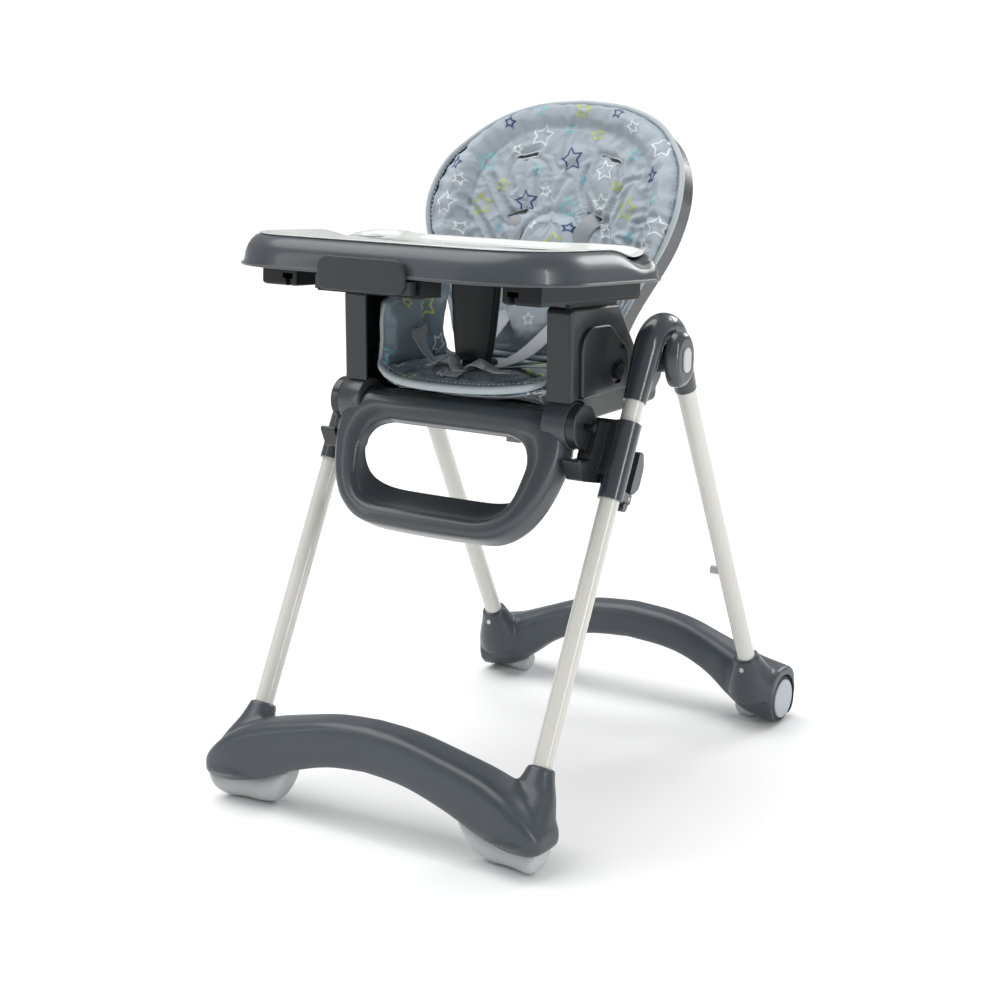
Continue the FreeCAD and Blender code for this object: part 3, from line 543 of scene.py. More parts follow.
SLATE = Plastic("slate_plastic", "dark_plastic", (0.040, 0.049, 0.058), roughness=0.22, coat=0.35, wear=0.25)
SLATE_MATT = Plastic("slate_base_plastic", "frame_plastic", (0.046, 0.058, 0.069), roughness=0.36, coat=0.10)
TRAY_SLATE = Plastic("slate_tray_plastic", "dark_plastic", (0.050, 0.060, 0.069), roughness=0.32, coat=0.15)
# Slate plastic darkened as painted shade: the shaded side panels, side trims, sleeve brackets and calf bar
# under the seat.
SLATE_IN_PAINTED_SHADE = Plastic("painted_shade_slate_plastic", "dark_plastic", (0.019, 0.023, 0.026), roughness=0.30, coat=0.20,
               shine=0.4)
# Near-black plastic: the buckle, pins and screws in their own colour, and painted shade on the seat pan, arm
# rails, crotch post, strap anchors, tray channels, release guide and tray underside, where shade falls under
# the seat and tray.
CHARCOAL_AND_PAINTED_SHADE = Plastic("charcoal_plastic", "dark_plastic", (0.008, 0.010, 0.011), roughness=0.38, dust=0.02,
                   shine=0.25)
PLAQUE = Plastic("plaque_plastic", "dark_plastic", (0.030, 0.035, 0.038), roughness=0.34, dust=0.02,
                 shine=0.35)
PALE = Plastic("pale_grey_plastic", "pad_plastic", (0.47, 0.49, 0.495), roughness=0.40, dust=0.05, wear=0.1)
CAP = Plastic("wheel_cap_plastic", "pad_plastic", (0.42, 0.46, 0.50), roughness=0.36, dust=0.05, wear=0.1)
BUTTON = Plastic("button_plastic", "pad_plastic", (0.52, 0.55, 0.55), roughness=0.35, dust=0.0, wear=0.1)
INSERT = Plastic("white_insert_plastic", "insert_plastic", (0.70, 0.73, 0.71), roughness=0.24, coat=0.3,
                 dust=0.02,
                 wear=0.0)
WHITE_PAINT = Paint("white_tube_paint", "tube_paint", (0.65, 0.648, 0.605))
STEEL = Metal("screw_steel", "steel", (0.62, 0.62, 0.63))
TYRE = Rubber("tyre_rubber", "tyre", (0.022, 0.025, 0.028))
COVER = Cloth("cover_fabric", "cover_fabric", (0.320, 0.412, 0.490))
# Star print on the cover fabric, its ground darkened as painted shade for the seat pad and padded sides,
# which sit in shade.
PRINTED_IN_PAINTED_SHADE = Cloth("star_print_fabric", "cover_fabric", (0.215, 0.278, 0.325), printed=True)
PIPING = Cloth("pale_piping_fabric", "cover_fabric", (0.45, 0.51, 0.54), threads=900.0)
WEBBING = Cloth("grey_webbing", "webbing", (0.32, 0.345, 0.37), threads=700.0, roughness=0.6)
THREAD = Cloth("white_thread", "cover_fabric", (0.72, 0.75, 0.78), threads=3000.0)
# Near-black sheet in each strap slot: painted shade where the slot opens into the pad.
SLOT_SHADE = Cloth("slot_shadow_fabric", "cover_fabric", (0.020, 0.024, 0.030), threads=1500.0)


class Ink(Enum):
    """The four inks of the star print."""

    WHITE = (0.80, 0.85, 0.88)
    NAVY = (0.032, 0.078, 0.215)
    LIME = (0.53, 0.62, 0.18)
    TURQUOISE = (0.30, 0.62, 0.70)

    @property
    def cloth(self) -> Cloth:
        """The cover's fabric printed in this ink."""
        return Cloth(self.name.lower() + "_print", "cover_fabric", self.value, sheen=0.1)


# ------------------------------------------------------------------ mesh making
def grid_faces(rows: int, columns: int, wrap: bool) -> list[tuple[int, ...]]:
    """Quads between the rows of a grid of points.

    Args:
        rows: number of rows.
        columns: points in a row.
        wrap: whether each row is a closed ring.

    Returns:
        Faces as point numbers.
    """
    faces = []
    for r in range(rows - 1):
        for c in range(columns if wrap else columns - 1):
            d = (c + 1) % columns
            faces.append((r * columns + c, r * columns + d, (r + 1) * columns + d, (r + 1) * columns + c))
    return faces


def new_piece(name: str, points: Sequence, faces: Sequence, finish: Finish, body: str | None,
              stands_for: Iterable[str] = (),
              levels: int = 0, crease_angle: float | None = None) -> bpy.types.Object:
    """Makes a mesh piece, dresses it and puts it on its body.

    Args:
        name: the piece's name.
        points: corner positions in the row frame.
        faces: faces as point numbers.
        finish: the finish that it wears.
        body: the CAD body that it rides on, or None for a piece that bends between two.
        stands_for: CAD nodes that it replaces.
        levels: subdivision levels.
        crease_angle: degrees above which an edge is shaded sharp, or None for all smooth.

    Returns:
        The new object.
    """
    mesh = bpy.data.meshes.new(name)
    mesh.from_pydata([tuple(p) for p in points], [], [tuple(f) for f in faces])
    tidy_mesh(mesh)
    mesh.polygons.foreach_set("use_smooth", [True] * len(mesh.polygons))
    if crease_angle is not None:
        mesh.set_sharp_from_angle(angle=math.radians(crease_angle))
    piece = bpy.data.objects.new(name, mesh)
    bpy.context.scene.collection.objects.link(piece)
    if levels:
        modifier = piece.modifiers.new("smooth", "SUBSURF")
        modifier.levels = modifier.render_levels = levels
    mesh.materials.append(finish.material())
    if body:
        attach(piece, body)
    nodes = tuple(stands_for)
    if nodes:
        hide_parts(*nodes)
    LOG.info("%s: %d points on %s", name, len(mesh.vertices), body)
    return piece


def tidy_mesh(mesh: bpy.types.Mesh) -> None:
    """Joins doubled points and turns all faces outward.

    Args:
        mesh: the mesh to clean.
    """
    work = bmesh.new()
    work.from_mesh(mesh)
    bmesh.ops.remove_doubles(work, verts=work.verts, dist=1e-6)
    bmesh.ops.recalc_face_normals(work, faces=work.faces)
    work.to_mesh(mesh)
    work.free()


def capped(rings: Sequence[Sequence[Vector]]) -> tuple[list[Vector], list[tuple[int, ...]]]:
    """Closed skin through closed rings, with a flat face over each end.

    Args:
        rings: rings of equal point count.

    Returns:
        Points and faces.
    """
    count = len(rings[0])
    points = [p for ring in rings for p in ring]
    faces = grid_faces(len(rings), count, True)
    faces.append(tuple(reversed(range(count))))
    last = (len(rings) - 1) * count
    faces.append(tuple(range(last, last + count)))
    return points, faces


def lay_flat(piece: bpy.types.Object, places: Sequence[Sequence[float]]) -> None:
    """Gives a cloth piece its flat coordinate in metres.

    Args:
        piece: the mesh piece.
        places: the place of each of its points.
    """
    layer = piece.data.uv_layers.new(name="print")
    for loop in piece.data.loops:
        layer.data[loop.index].uv = places[loop.vertex_index]


def print_map(piece: bpy.types.Object, flat: Callable[[Vector], tuple[float, float]]) -> None:
    """Lays a cloth piece flat by the place of each point.

    Args:
        piece: the mesh piece.
        flat: from a point to its place on the flat cloth.
    """
    lay_flat(piece, [flat(v.co) for v in piece.data.vertices])


def sweep(line: Sequence[Vector], radius: float, sides: int = 10, closed: bool = False
          ) -> tuple[list[Vector], list[tuple[int, ...]]]:
    """Round tube along a line of points.

    Args:
        line: the centre line.
        radius: tube radius.
        sides: points round the tube.
        closed: whether the line is a loop.

    Returns:
        Points and faces.
    """
    count = len(line)
    rings = []
    previous = None
    for i, at in enumerate(line):
        ahead = line[(i + 1) % count] if closed or i < count - 1 else at
        behind = line[i - 1] if closed or i > 0 else at
        along = (ahead - behind).normalized()
        if previous is None:
            previous = along.orthogonal().normalized()
        previous = (previous - along * previous.dot(along)).normalized()
        other = along.cross(previous)
        rings.append([at + (previous * math.cos(a) + other * math.sin(a)) * radius
                      for a in (math.tau * k / sides for k in range(sides))])
    if closed:
        points = [p for ring in rings for p in ring]
        faces = grid_faces(count, sides, True)
        last = (count - 1) * sides
        # The frame may have turned on its way round, so each closing point joins its nearest.
        shift = min(range(sides), key=lambda s: (rings[-1][0] - rings[0][s]).length)
        for k in range(sides):
            faces.append((last + k, last + (k + 1) % sides, (k + 1 + shift) % sides, (k + shift) % sides))
        return points, faces
    return capped(rings)


def smooth_line(points: Sequence[Sequence[float]], steps: int = 8, closed: bool = False) -> list[Vector]:
    """Catmull-Rom line through points of any dimension up to three.

    Args:
        points: the points it passes.
        steps: points made for each span.
        closed: whether it comes back to its start.

    Returns:
        The line's points.
    """
    given = [Vector((*p, 0.0, 0.0)[:3]) for p in points]
    count = len(given)
    line = []
    for i in range(count if closed else count - 1):
        if closed:
            a, b, c, d = (given[(i + k) % count] for k in (-1, 0, 1, 2))
        else:
            a, b, c, d = (given[min(max(i + k, 0), count - 1)] for k in (-1, 0, 1, 2))
        for s in range(steps):
            t = s / steps
            line.append(0.5 * ((2 * b) + (c - a) * t + (2 * a - 5 * b + 4 * c - d) * t ** 2
                               + (3 * b - a - 3 * c + d) * t ** 3))
    if not closed:
        line.append(given[-1])
    return line


def step(low: float, high: float, value: float) -> float:
    """Smooth 0 to 1 as value goes from low to high."""
    t = min(1.0, max(0.0, (value - low) / (high - low)))
    return t * t * (3 - 2 * t)


def squircle(at: Vector, across: Vector, upward: Vector, power: float, count: int = 40) -> list[Vector]:
    """Rounded-rectangle ring.

    Args:
        at: its middle.
        across: half of its width, as a vector.
        upward: half of its height, as a vector.
        power: 2 for an ellipse, more for squarer.
        count: number of points.

    Returns:
        The ring's points.
    """
    ring = []
    for k in range(count):
        c, s = math.cos(math.tau * k / count), math.sin(math.tau * k / count)
        ring.append(at + across * math.copysign(abs(c) ** (2 / power), c)
                    + upward * math.copysign(abs(s) ** (2 / power), s))
    return ring


def between(stations: Sequence[Sequence[float]], steps: int) -> list[list[float]]:
    """Stations with smooth in-between ones, each a row of numbers.

    Args:
        stations: rows of equal length.
        steps: rows made for each span.

    Returns:
        All of the rows.
    """
    rows = []
    last = len(stations) - 1
    for i in range(last):
        a, b, c, d = (stations[min(max(i + k, 0), last)] for k in (-1, 0, 1, 2))
        for n in range(steps):
            t = n / steps
            rows.append([0.5 * (2 * q + (r - p) * t + (2 * p - 5 * q + 4 * r - w) * t * t
                                + (3 * q - p - 3 * r + w) * t ** 3) for p, q, r, w in zip(a, b, c, d)])
    return rows + [list(stations[-1])]


def mirror(points: Sequence[Vector]) -> list[Vector]:
    """The points on the other side of the middle plane."""
    return [Vector((-p.x, p.y, p.z)) for p in points]


def shaped(points: Sequence, faces: Sequence, dress: Callable[[bpy.types.Object], None]
           ) -> tuple[np.ndarray, list[tuple[int, ...]]]:
    """Mesh after the modifiers that a caller sets on it.

    Args:
        points: corner positions.
        faces: faces as point numbers.
        dress: adds the modifiers.

    Returns:
        Points and faces of the result.
    """
    mesh = bpy.data.meshes.new("work")
    mesh.from_pydata([tuple(p) for p in points], [], [tuple(f) for f in faces])
    tidy_mesh(mesh)
    work = bpy.data.objects.new("work", mesh)
    bpy.context.scene.collection.objects.link(work)
    dress(work)
    shown = work.evaluated_get(bpy.context.evaluated_depsgraph_get()).data
    made = np.array([v.co for v in shown.vertices])
    sides = [tuple(f.vertices) for f in shown.polygons]
    bpy.data.objects.remove(work)
    bpy.data.meshes.remove(mesh)
    return made, sides


def melt(shells: Sequence[tuple[Sequence, Sequence]], voxel: float, rounds: int
         ) -> tuple[np.ndarray, list[tuple[int, ...]]]:
    """One skin round several closed shells, with soft hollows where they meet.

    Args:
        shells: points and faces of each shell.
        voxel: size of the new faces.
        rounds: smoothing rounds.

    Returns:
        Points and faces.
    """
    points, faces = [], []
    for shell_points, shell_faces in shells:
        start = len(points)
        points += list(shell_points)
        faces += [tuple(start + k for k in f) for f in shell_faces]

    def remesh(work: bpy.types.Object) -> None:
        """Adds the remesh."""
        modifier = work.modifiers.new("melt", "REMESH")
        modifier.mode, modifier.voxel_size = "VOXEL", voxel

    skin, sides = shaped(points, faces, remesh)
    pairs = np.array([(f[k], f[k - 1]) for f in sides for k in range(len(f))])
    count = np.bincount(pairs[:, 0], minlength=len(skin))[:, None]
    for _ in range(rounds):
        total = np.zeros_like(skin)
        np.add.at(total, pairs[:, 0], skin[pairs[:, 1]])
        skin = 0.5 * skin + 0.5 * total / count
    return skin, sides


def carve(points: Sequence, faces: Sequence, cutters: Sequence[tuple[Sequence, Sequence]]
          ) -> tuple[np.ndarray, list[tuple[int, ...]]]:
    """Mesh with closed cutters taken out of it.

    Args:
        points: corner positions.
        faces: faces as point numbers.
        cutters: points and faces of each cutter.

    Returns:
        Points and faces.
    """
    tools = []
    for cutter_points, cutter_faces in cutters:
        mesh = bpy.data.meshes.new("cutter")
        mesh.from_pydata([tuple(p) for p in cutter_points], [], [tuple(f) for f in cutter_faces])
        tidy_mesh(mesh)
        tools.append(bpy.data.objects.new("cutter", mesh))
        bpy.context.scene.collection.objects.link(tools[-1])

    def cut(work: bpy.types.Object) -> None:
        """Adds one difference for each cutter.

        Args:
            work: the object that is cut.
        """
        for tool in tools:
            modifier = work.modifiers.new("cut", "BOOLEAN")
            modifier.operation, modifier.solver, modifier.object = "DIFFERENCE", "EXACT", tool

    result = shaped(points, faces, cut)
    for tool in tools:
        bpy.data.objects.remove(tool)
    return result


def ribbon(name: str, line: Sequence[Vector], across: Callable[[float], Vector], width: float,
           body: str | None,
           stands_for: Iterable[str] = (), thickness: float = 0.0018) -> bpy.types.Object:
    """Flat webbing along a line.

    Args:
        name: the piece's name.
        line: its centre line.
        across: from 0..1 along the line to the direction of its width.
        width: its width.
        body: the body it rides on.
        stands_for: CAD nodes that it replaces.
        thickness: its thickness.

    Returns:
        The strap.
    """
    rings = []
    flat = []
    run = 0.0
    last = len(line) - 1
    for i, at in enumerate(line):
        along = (line[min(i + 1, last)] - line[max(i - 1, 0)]).normalized()
        side = across(i / last)
        side = (side - along * side.dot(along)).normalized()
        out = along.cross(side)
        run += (at - line[max(i - 1, 0)]).length
        ring = []
        for w, t in ((-0.5, -0.3), (-0.47, -0.5), (0.0, -0.5), (0.47, -0.5), (0.5, -0.3), (0.5, 0.3),
                     (0.47, 0.5),
                     (0.0, 0.5), (-0.47, 0.5), (-0.5, 0.3)):
            ring.append(at + side * (w * width) + out * (t * thickness))
            flat.append((w * width, run))
        rings.append(ring)
    points, faces = capped(rings)
    strap = new_piece(name, points, faces, WEBBING, body, stands_for)
    lay_flat(strap, flat)
    return strap


def stitches(name: str, line: Sequence[Vector], pitch: float, body: str, finish: Finish,
             length: float = 0.0034,
             radius: float = 0.00055) -> bpy.types.Object:
    """A row of short threads along a line, as one piece.

    Args:
        name: the piece's name.
        line: the line that they follow.
        pitch: distance between threads.
        body: the body it rides on.
        finish: the thread's finish.
        length: length of one thread.
        radius: its thickness at the middle.

    Returns:
        The row.
    """
    points: list[Vector] = []
    faces: list[tuple[int, ...]] = []
    carried = 0.0
    for a, b in zip(line, line[1:]):
        span = (b - a).length
        along = (b - a).normalized()
        while carried < span:
            middle = a + along * carried
            rings = []
            for shift, share in ((-0.5, 0.4), (-0.35, 1.0), (0.35, 1.0), (0.5, 0.4)):
                side = along.orthogonal().normalized() * radius * share
                up = along.cross(side)
                rings.append(squircle(middle + along * (shift * length), side, up, 2.0, 6))
            made, sides = capped(rings)
            start = len(points)
            points += made
            faces += [tuple(start + k for k in f) for f in sides]
            carried += pitch
        carried -= span
    row = new_piece(name, points, faces, finish, body)
    print_map(row, lambda co: (co.x, co.z))
    return row


@dataclass(frozen=True)
class Tilt:
    """A frame turned about X and moved in the YZ plane, as the CAD sub-parts use."""

    y: float
    z: float
    degrees: float

    def out(self, x: float, y: float, z: float) -> Vector:
        """Point in the row frame of a point in this frame."""
        a = math.radians(self.degrees)
        return Vector((x, self.y + y * math.cos(a) + z * math.sin(a),
                       self.z - y * math.sin(a) + z * math.cos(a)))

    def back(self, p: Vector) -> Vector:
        """Point in this frame of a point in the row frame.

        Args:
            p: a point in the row frame.

        Returns:
            The point in this frame.
        """
        a = math.radians(self.degrees)
        y, z = p.y - self.y, p.z - self.z
        return Vector((p.x, y * math.cos(a) - z * math.sin(a), y * math.sin(a) + z * math.cos(a)))


BACK = Tilt(0.062, 0.625, 22.0)
TRAY = Tilt(-0.215, 0.8224, 3.9)
LEG_REST = Tilt(-0.160, 0.604, 26.0)


# ------------------------------------------------------------------ cloth
@dataclass
class Puff:
    """Cloth run that swells a padded piece between its seams."""

    pressure: float = 4.0
    slack: float = 0.03
    cap: float = 0.014
    frames: int = 20
    stiffness: float = 12.0
    shear: float = 6.0
    bending: float = 0.4
    mass: float = 0.25
    quality: int = 6

    def run(self, piece: bpy.types.Object, pinned: Sequence[float]) -> None:
        """Swells the piece and leaves the result in its mesh.

        Args:
            piece: the padded piece, with no modifiers.
            pinned: how firmly each point is held, 0 to 1.
        """
        mesh = piece.data
        rest = np.array([v.co for v in mesh.vertices])
        group = piece.vertex_groups.new(name="seams")
        for i, hold in enumerate(pinned):
            group.add([i], hold, "REPLACE")
        cloth = piece.modifiers.new("puff", "CLOTH")
        settings = cloth.settings
        settings.quality = self.quality
        settings.mass = self.mass
        settings.tension_stiffness = settings.compression_stiffness = self.stiffness
        settings.shear_stiffness = self.shear
        settings.bending_stiffness = self.bending
        settings.use_pressure = True
        settings.uniform_pressure_force = self.pressure
        settings.shrink_min = -self.slack
        settings.vertex_group_mass = "seams"
        settings.pin_stiffness = 1.0
        settings.effector_weights.gravity = 0.0
        cloth.collision_settings.use_collision = False
        scene = bpy.context.scene
        cloth.point_cache.frame_start, cloth.point_cache.frame_end = 1, self.frames
        for number in range(1, self.frames + 1):
            scene.frame_set(number)
        shown = piece.evaluated_get(bpy.context.evaluated_depsgraph_get())
        moved = np.array([v.co for v in shown.data.vertices])
        piece.modifiers.remove(cloth)
        scene.frame_set(1)
        shift = moved - rest
        length = np.linalg.norm(shift, axis=1, keepdims=True)
        shift *= np.minimum(1.0, self.cap / np.maximum(length, 1e-9))
        mesh.vertices.foreach_set("co", (rest + shift).ravel())
        mesh.update()


# ------------------------------------------------------------------ studio
@dataclass
class Studio:
    """Camera, floor and soft light."""

    place: tuple[float, float, float] = (1.6821, -2.6182, 1.17534)
    aim: tuple[float, float, float] = (-0.5326563, 0.81398414, -0.2317479)
    lens: float = 71.67
    floor_size: float = 400.0
    ambient: float = 0.40
    strips: tuple = (("left_strip", (-2.6, -3.0, 1.6), (0.30, 2.6), 12.0),
                     ("right_strip", (3.4, -0.6, 1.5), (0.25, 2.4), 34.0),
                     ("rear_strip", (0.8, 3.4, 2.2), (1.6, 1.2), 40.0))

    def build(self) -> None:
        """Makes the whole studio."""
        scene = bpy.context.scene
        camera = bpy.data.objects.new("camera", bpy.data.cameras.new("camera"))
        camera.data.lens, camera.data.sensor_width = self.lens, 36.0
        camera.data.clip_end = 1000.0
        camera.location = self.place
        camera.rotation_mode = "QUATERNION"
        camera.rotation_quaternion = Vector(self.aim).to_track_quat("-Z", "Y")
        scene.collection.objects.link(camera)
        scene.camera = camera
        scene.view_settings.view_transform = "Standard"
        self._backdrop(scene)
        sun = bpy.data.lights.new("overhead", "SUN")
        sun.energy, sun.angle = 2.5, math.radians(60.0)
        self._hang(sun, (-0.9, -0.25, 3.0))
        for name, at, size, watts in self.strips:
            light = bpy.data.lights.new(name, "AREA")
            light.shape = "RECTANGLE"
            light.energy, (light.size, light.size_y) = watts, size
            self._hang(light, at)
        self._floor()

    def _backdrop(self, scene: bpy.types.Scene) -> None:
        """White surroundings that light the chair less than they show.

        Args:
            scene: the scene.
        """
        world = bpy.data.worlds.new("studio_light")
        scene.world = world
        world.use_nodes = True
        nodes, links = world.node_tree.nodes, world.node_tree.links
        background = nodes["Background"]
        seen = nodes.new("ShaderNodeLightPath")
        level = nodes.new("ShaderNodeMapRange")
        level.inputs[3].default_value, level.inputs[4].default_value = self.ambient, 1.0
        links.new(seen.outputs["Is Camera Ray"], level.inputs[0])
        links.new(level.outputs[0], background.inputs[1])
        background.inputs[0].default_value = (1.0, 1.0, 1.0, 1.0)

    def _hang(self, light: bpy.types.Light, at: tuple[float, float, float]) -> None:
        """Puts a light at a place, turned to the chair.

        Args:
            light: the light.
            at: its place.
        """
        lamp = bpy.data.objects.new(light.name, light)
        lamp.location = at
        lamp.rotation_mode = "QUATERNION"
        lamp.rotation_quaternion = (Vector((0, 0, 0.55)) - Vector(at)).to_track_quat("-Z", "Y")
        bpy.context.scene.collection.objects.link(lamp)

    def _floor(self) -> None:
        """A plain pale floor that is not part of the object."""
        half = self.floor_size / 2
        mesh = bpy.data.meshes.new("floor")
        mesh.from_pydata([(-half, -half, 0), (half, -half, 0), (half, half, 0), (-half, half, 0)], [],
                         [(0, 1, 2, 3)])
        floor = bpy.data.objects.new("floor", mesh)
        bpy.context.scene.collection.objects.link(floor)
        paint = bpy.data.materials.new("floor_paint")
        paint.use_nodes = True
        shader = paint.node_tree.nodes["Principled BSDF"]
        shader.inputs["Base Color"].default_value = (0.94, 0.94, 0.94, 1.0)
        shader.inputs["Roughness"].default_value = 0.8
        shader.inputs["Specular IOR Level"].default_value = 0.0
        mesh.materials.append(paint)


# ------------------------------------------------------------------ chair
@dataclass
class CarriedNodes:
    """CAD nodes that keep their own shape and get a finish."""

    # Leftover cover-fabric nodes wear the star print darkened as painted shade.
    finishes: dict[str, Finish] = field(default_factory=lambda: {
        "frame_plastic": SLATE_MATT, "dark_plastic": SLATE, "tube_paint": WHITE_PAINT, "pad_plastic": PALE,
        "insert_plastic": INSERT, "tyre": TYRE, "steel": STEEL, "cover_fabric": PRINTED_IN_PAINTED_SHADE, "webbing": WEBBING,
        "buckle_plastic": CHARCOAL_AND_PAINTED_SHADE})
    # Painted shade: the seat's and tray's shaded parts wear darker copies of the slate plastic.
    special: dict[str, Finish] = field(default_factory=lambda: {
        "crotch_post": CHARCOAL_AND_PAINTED_SHADE, "tray_channels": CHARCOAL_AND_PAINTED_SHADE, "release_guide": CHARCOAL_AND_PAINTED_SHADE, "arm_rails": CHARCOAL_AND_PAINTED_SHADE,
        "seat_pan": CHARCOAL_AND_PAINTED_SHADE, "strap_anchors": CHARCOAL_AND_PAINTED_SHADE, "tray_release": PLAQUE, "leg_rest": TRAY_SLATE,
        "fold_button_left": BUTTON, "fold_button_right": BUTTON, "wheel_cap_left": CAP,
        "wheel_cap_right": CAP,
        # Painted shade on the side panels, side trims and sleeve brackets.
        "side_panel_left": SLATE_IN_PAINTED_SHADE, "side_panel_right": SLATE_IN_PAINTED_SHADE, "side_trim_left": SLATE_IN_PAINTED_SHADE, "side_trim_right": SLATE_IN_PAINTED_SHADE,
        "sleeve_bracket_left": SLATE_IN_PAINTED_SHADE, "sleeve_bracket_right": SLATE_IN_PAINTED_SHADE, "leg_rest_pins": CHARCOAL_AND_PAINTED_SHADE,
        "side_screws": CHARCOAL_AND_PAINTED_SHADE,
        "recline_pins": CHARCOAL_AND_PAINTED_SHADE})

    def dress(self) -> None:
        """Gives every CAD node the finish of its slot, or its own."""
        for part in frame["record"]["subparts"]:
            finish = self.special.get(part["node"], self.finishes[part["material_slot"]])
            mesh = frame["nodes"][part["node"]].data
            mesh.materials.clear()
            mesh.materials.append(finish.material())


@dataclass
class Bases:
    """The two floor bases with their hoods, pads and wheel pockets."""

    front_y: float = -0.390
    rear_y: float = 0.388
    front_stations: tuple = ((0.0, 0.137, 0.037, 0.032), (0.070, 0.131, 0.038, 0.033),
                             (0.140, 0.114, 0.041, 0.035), (0.205, 0.093, 0.046, 0.038),
                             (0.248, 0.079, 0.042, 0.042), (0.276, 0.069, 0.033, 0.042),
                             (0.296, 0.060, 0.022, 0.038), (0.307, 0.055, 0.012, 0.028))
    rear_stations: tuple = ((0.0, 0.1375, 0.032, 0.031), (0.070, 0.132, 0.032, 0.032),
                            (0.120, 0.121, 0.033, 0.034), (0.165, 0.102, 0.036, 0.036),
                            (0.205, 0.080, 0.043, 0.043), (0.245, 0.061, 0.048, 0.047),
                            (0.301, 0.051, 0.0465, 0.0475))
    front_hood: tuple = ((0.052, 0.2570, -0.396, 0.0490, 0.0420, 3.2),
                         (0.070, 0.2570, -0.387, 0.0470, 0.0410, 3.0),
                         (0.088, 0.2570, -0.375, 0.0425, 0.0390, 2.7),
                         (0.104, 0.2575, -0.362, 0.0360, 0.0345, 2.4),
                         (0.119, 0.2580, -0.349, 0.0280, 0.0270, 2.2))
    collar: float = 0.0212
    front_lean: float = 27.3
    rear_lean: float = 25.9
    wheel_z: float = 0.043
    wheel_x: float = 0.277
    pocket: float = 0.0422
    voxel: float = 0.0032
    melt_rounds: int = 7
    front_pad: tuple = ((0.156, 0.064, 0.006, 0.014, 0.004), (0.168, 0.052, 0.018, 0.022, 0.006),
                        (0.188, 0.036, 0.027, 0.026, 0.010), (0.214, 0.027, 0.026, 0.028, 0.012),
                        (0.246, 0.026, 0.0255, 0.028, 0.012), (0.274, 0.025, 0.0248, 0.028, 0.006),
                        (0.290, 0.031, 0.022, 0.028, -0.002), (0.301, 0.040, 0.013, 0.022, -0.006))
    rear_pad: tuple = ((0.214, 0.024, 0.008, 0.012, 0.0), (0.222, 0.016, 0.0155, 0.016, 0.0),
                       (0.248, 0.014, 0.0138, 0.016, 0.0), (0.258, 0.018, 0.008, 0.011, 0.0))

    def beam(self, stations: Sequence[Sequence[float]], y: float, power: float) -> tuple[list, list]:
        """Closed arched beam along X.

        Args:
            stations: x, height, half height and half depth of each section.
            y: the beam's place.
            power: how square its sections are.

        Returns:
            Points and faces.
        """
        half = between(stations, 6)
        both = [[-x, *rest] for x, *rest in reversed(half[1:])] + half
        return capped([squircle(Vector((x, y, z)), Vector((0, d, 0)), Vector((0, 0, h)), power)
                       for x, z, h, d in both])

    def tube_end(self, sign: int, lean: float, y: float, z: float) -> tuple[Vector, Vector]:
        """A collar's rim centre and the direction up its leg."""
        a = math.radians(lean)
        return Vector((0.258, y, z)), Vector((0.0, sign * math.sin(a), math.cos(a)))

    def hood(self) -> tuple[list, list]:
        """Right hood of the front base, up to its collar.

        Returns:
            Points and faces.
        """
        rings = [squircle(Vector((x, y, z)), Vector((hx, 0, 0)), Vector((0, hy, 0)), power)
                 for z, x, y, hx, hy, power in between(self.front_hood, 4)]
        rim, up = self.tube_end(1, self.front_lean, -0.3319, 0.1395)
        across = Vector((0, up.z, -up.y))
        for back, radius in ((0.006, self.collar + 0.0006), (0.0, self.collar)):
            rings.append(squircle(rim - up * back, Vector((radius, 0, 0)), across * radius, 2.0))
        return capped(rings)

    def socket(self) -> tuple[list, list]:
        """Right collar of the rear base.

        Returns:
            Points and faces.
        """
        rim, up = self.tube_end(-1, self.rear_lean, 0.3244, 0.1315)
        across = Vector((0, up.z, -up.y))
        rings = []
        for back, radius in ((0.078, 0.044), (0.056, 0.040), (0.038, 0.0335), (0.022, 0.0270),
                             (0.008, 0.0225), (0.0, 0.0212)):
            rings.append(squircle(rim - up * back, Vector((radius, 0, 0)), across * radius, 2.0))
        return capped(rings)

    def both_sides(self, shell: tuple[list, list]) -> list[tuple[list, list]]:
        """A shell and its mirror image."""
        return [shell, (mirror(shell[0]), shell[1])]

    def pad(self, name: str, side: Side, y: float, stations: Sequence[Sequence[float]], body: str,
            stands_for: Sequence[str]) -> None:
        """Bowl-shaped foot pad of one side.

        Args:
            name: the piece's name.
            side: the side it is on.
            y: the beam's place.
            stations: x, height, half height, half depth and shift of each section.
            body: the body it rides on.
            stands_for: CAD nodes that it replaces.
        """
        rings = [squircle(Vector((x, y + shift, z)), Vector((0, d, 0)), Vector((0, 0, h)), 2.1, 28)
                 for x, z, h, d, shift in between(stations, 4)]
        points, faces = capped(rings)
        if side is Side.LEFT:
            points = mirror(points)
        new_piece(name, points, faces, PALE, body, stands_for, levels=1)

    def build(self) -> None:
        """Makes both bases and their pads."""
        points, faces = melt([self.beam(self.front_stations, self.front_y, 4.0),
                              *self.both_sides(self.hood())],
                             self.voxel, self.melt_rounds)
        new_piece("front_arch", points, faces, SLATE_MATT, "front_frame", ["front_base"])
        points, faces = melt([self.beam(self.rear_stations, self.rear_y, 2.8),
                              *self.both_sides(self.socket())],
                             self.voxel, self.melt_rounds)
        axle = Vector((self.wheel_x - 0.002, self.rear_y, self.wheel_z))
        drum = capped([squircle(axle + Vector((shift, 0, 0)), Vector((0, self.pocket, 0)),
                                Vector((0, 0, self.pocket)),
                                2.0, 96) for shift in (0.0, 0.060)])
        points, faces = carve(points, faces, self.both_sides(drum))
        new_piece("rear_arch", points, faces, SLATE_MATT, "rear_frame", ["rear_base"], crease_angle=40)
        for side in Side:
            self.pad("front_pad_" + side.word, side, self.front_y, self.front_pad, "front_frame",
                     ["front_foot_" + side.word])
            self.pad("rear_pad_" + side.word, side, self.rear_y, self.rear_pad, "rear_frame",
                     ["rear_feet"] if side is Side.LEFT else [])


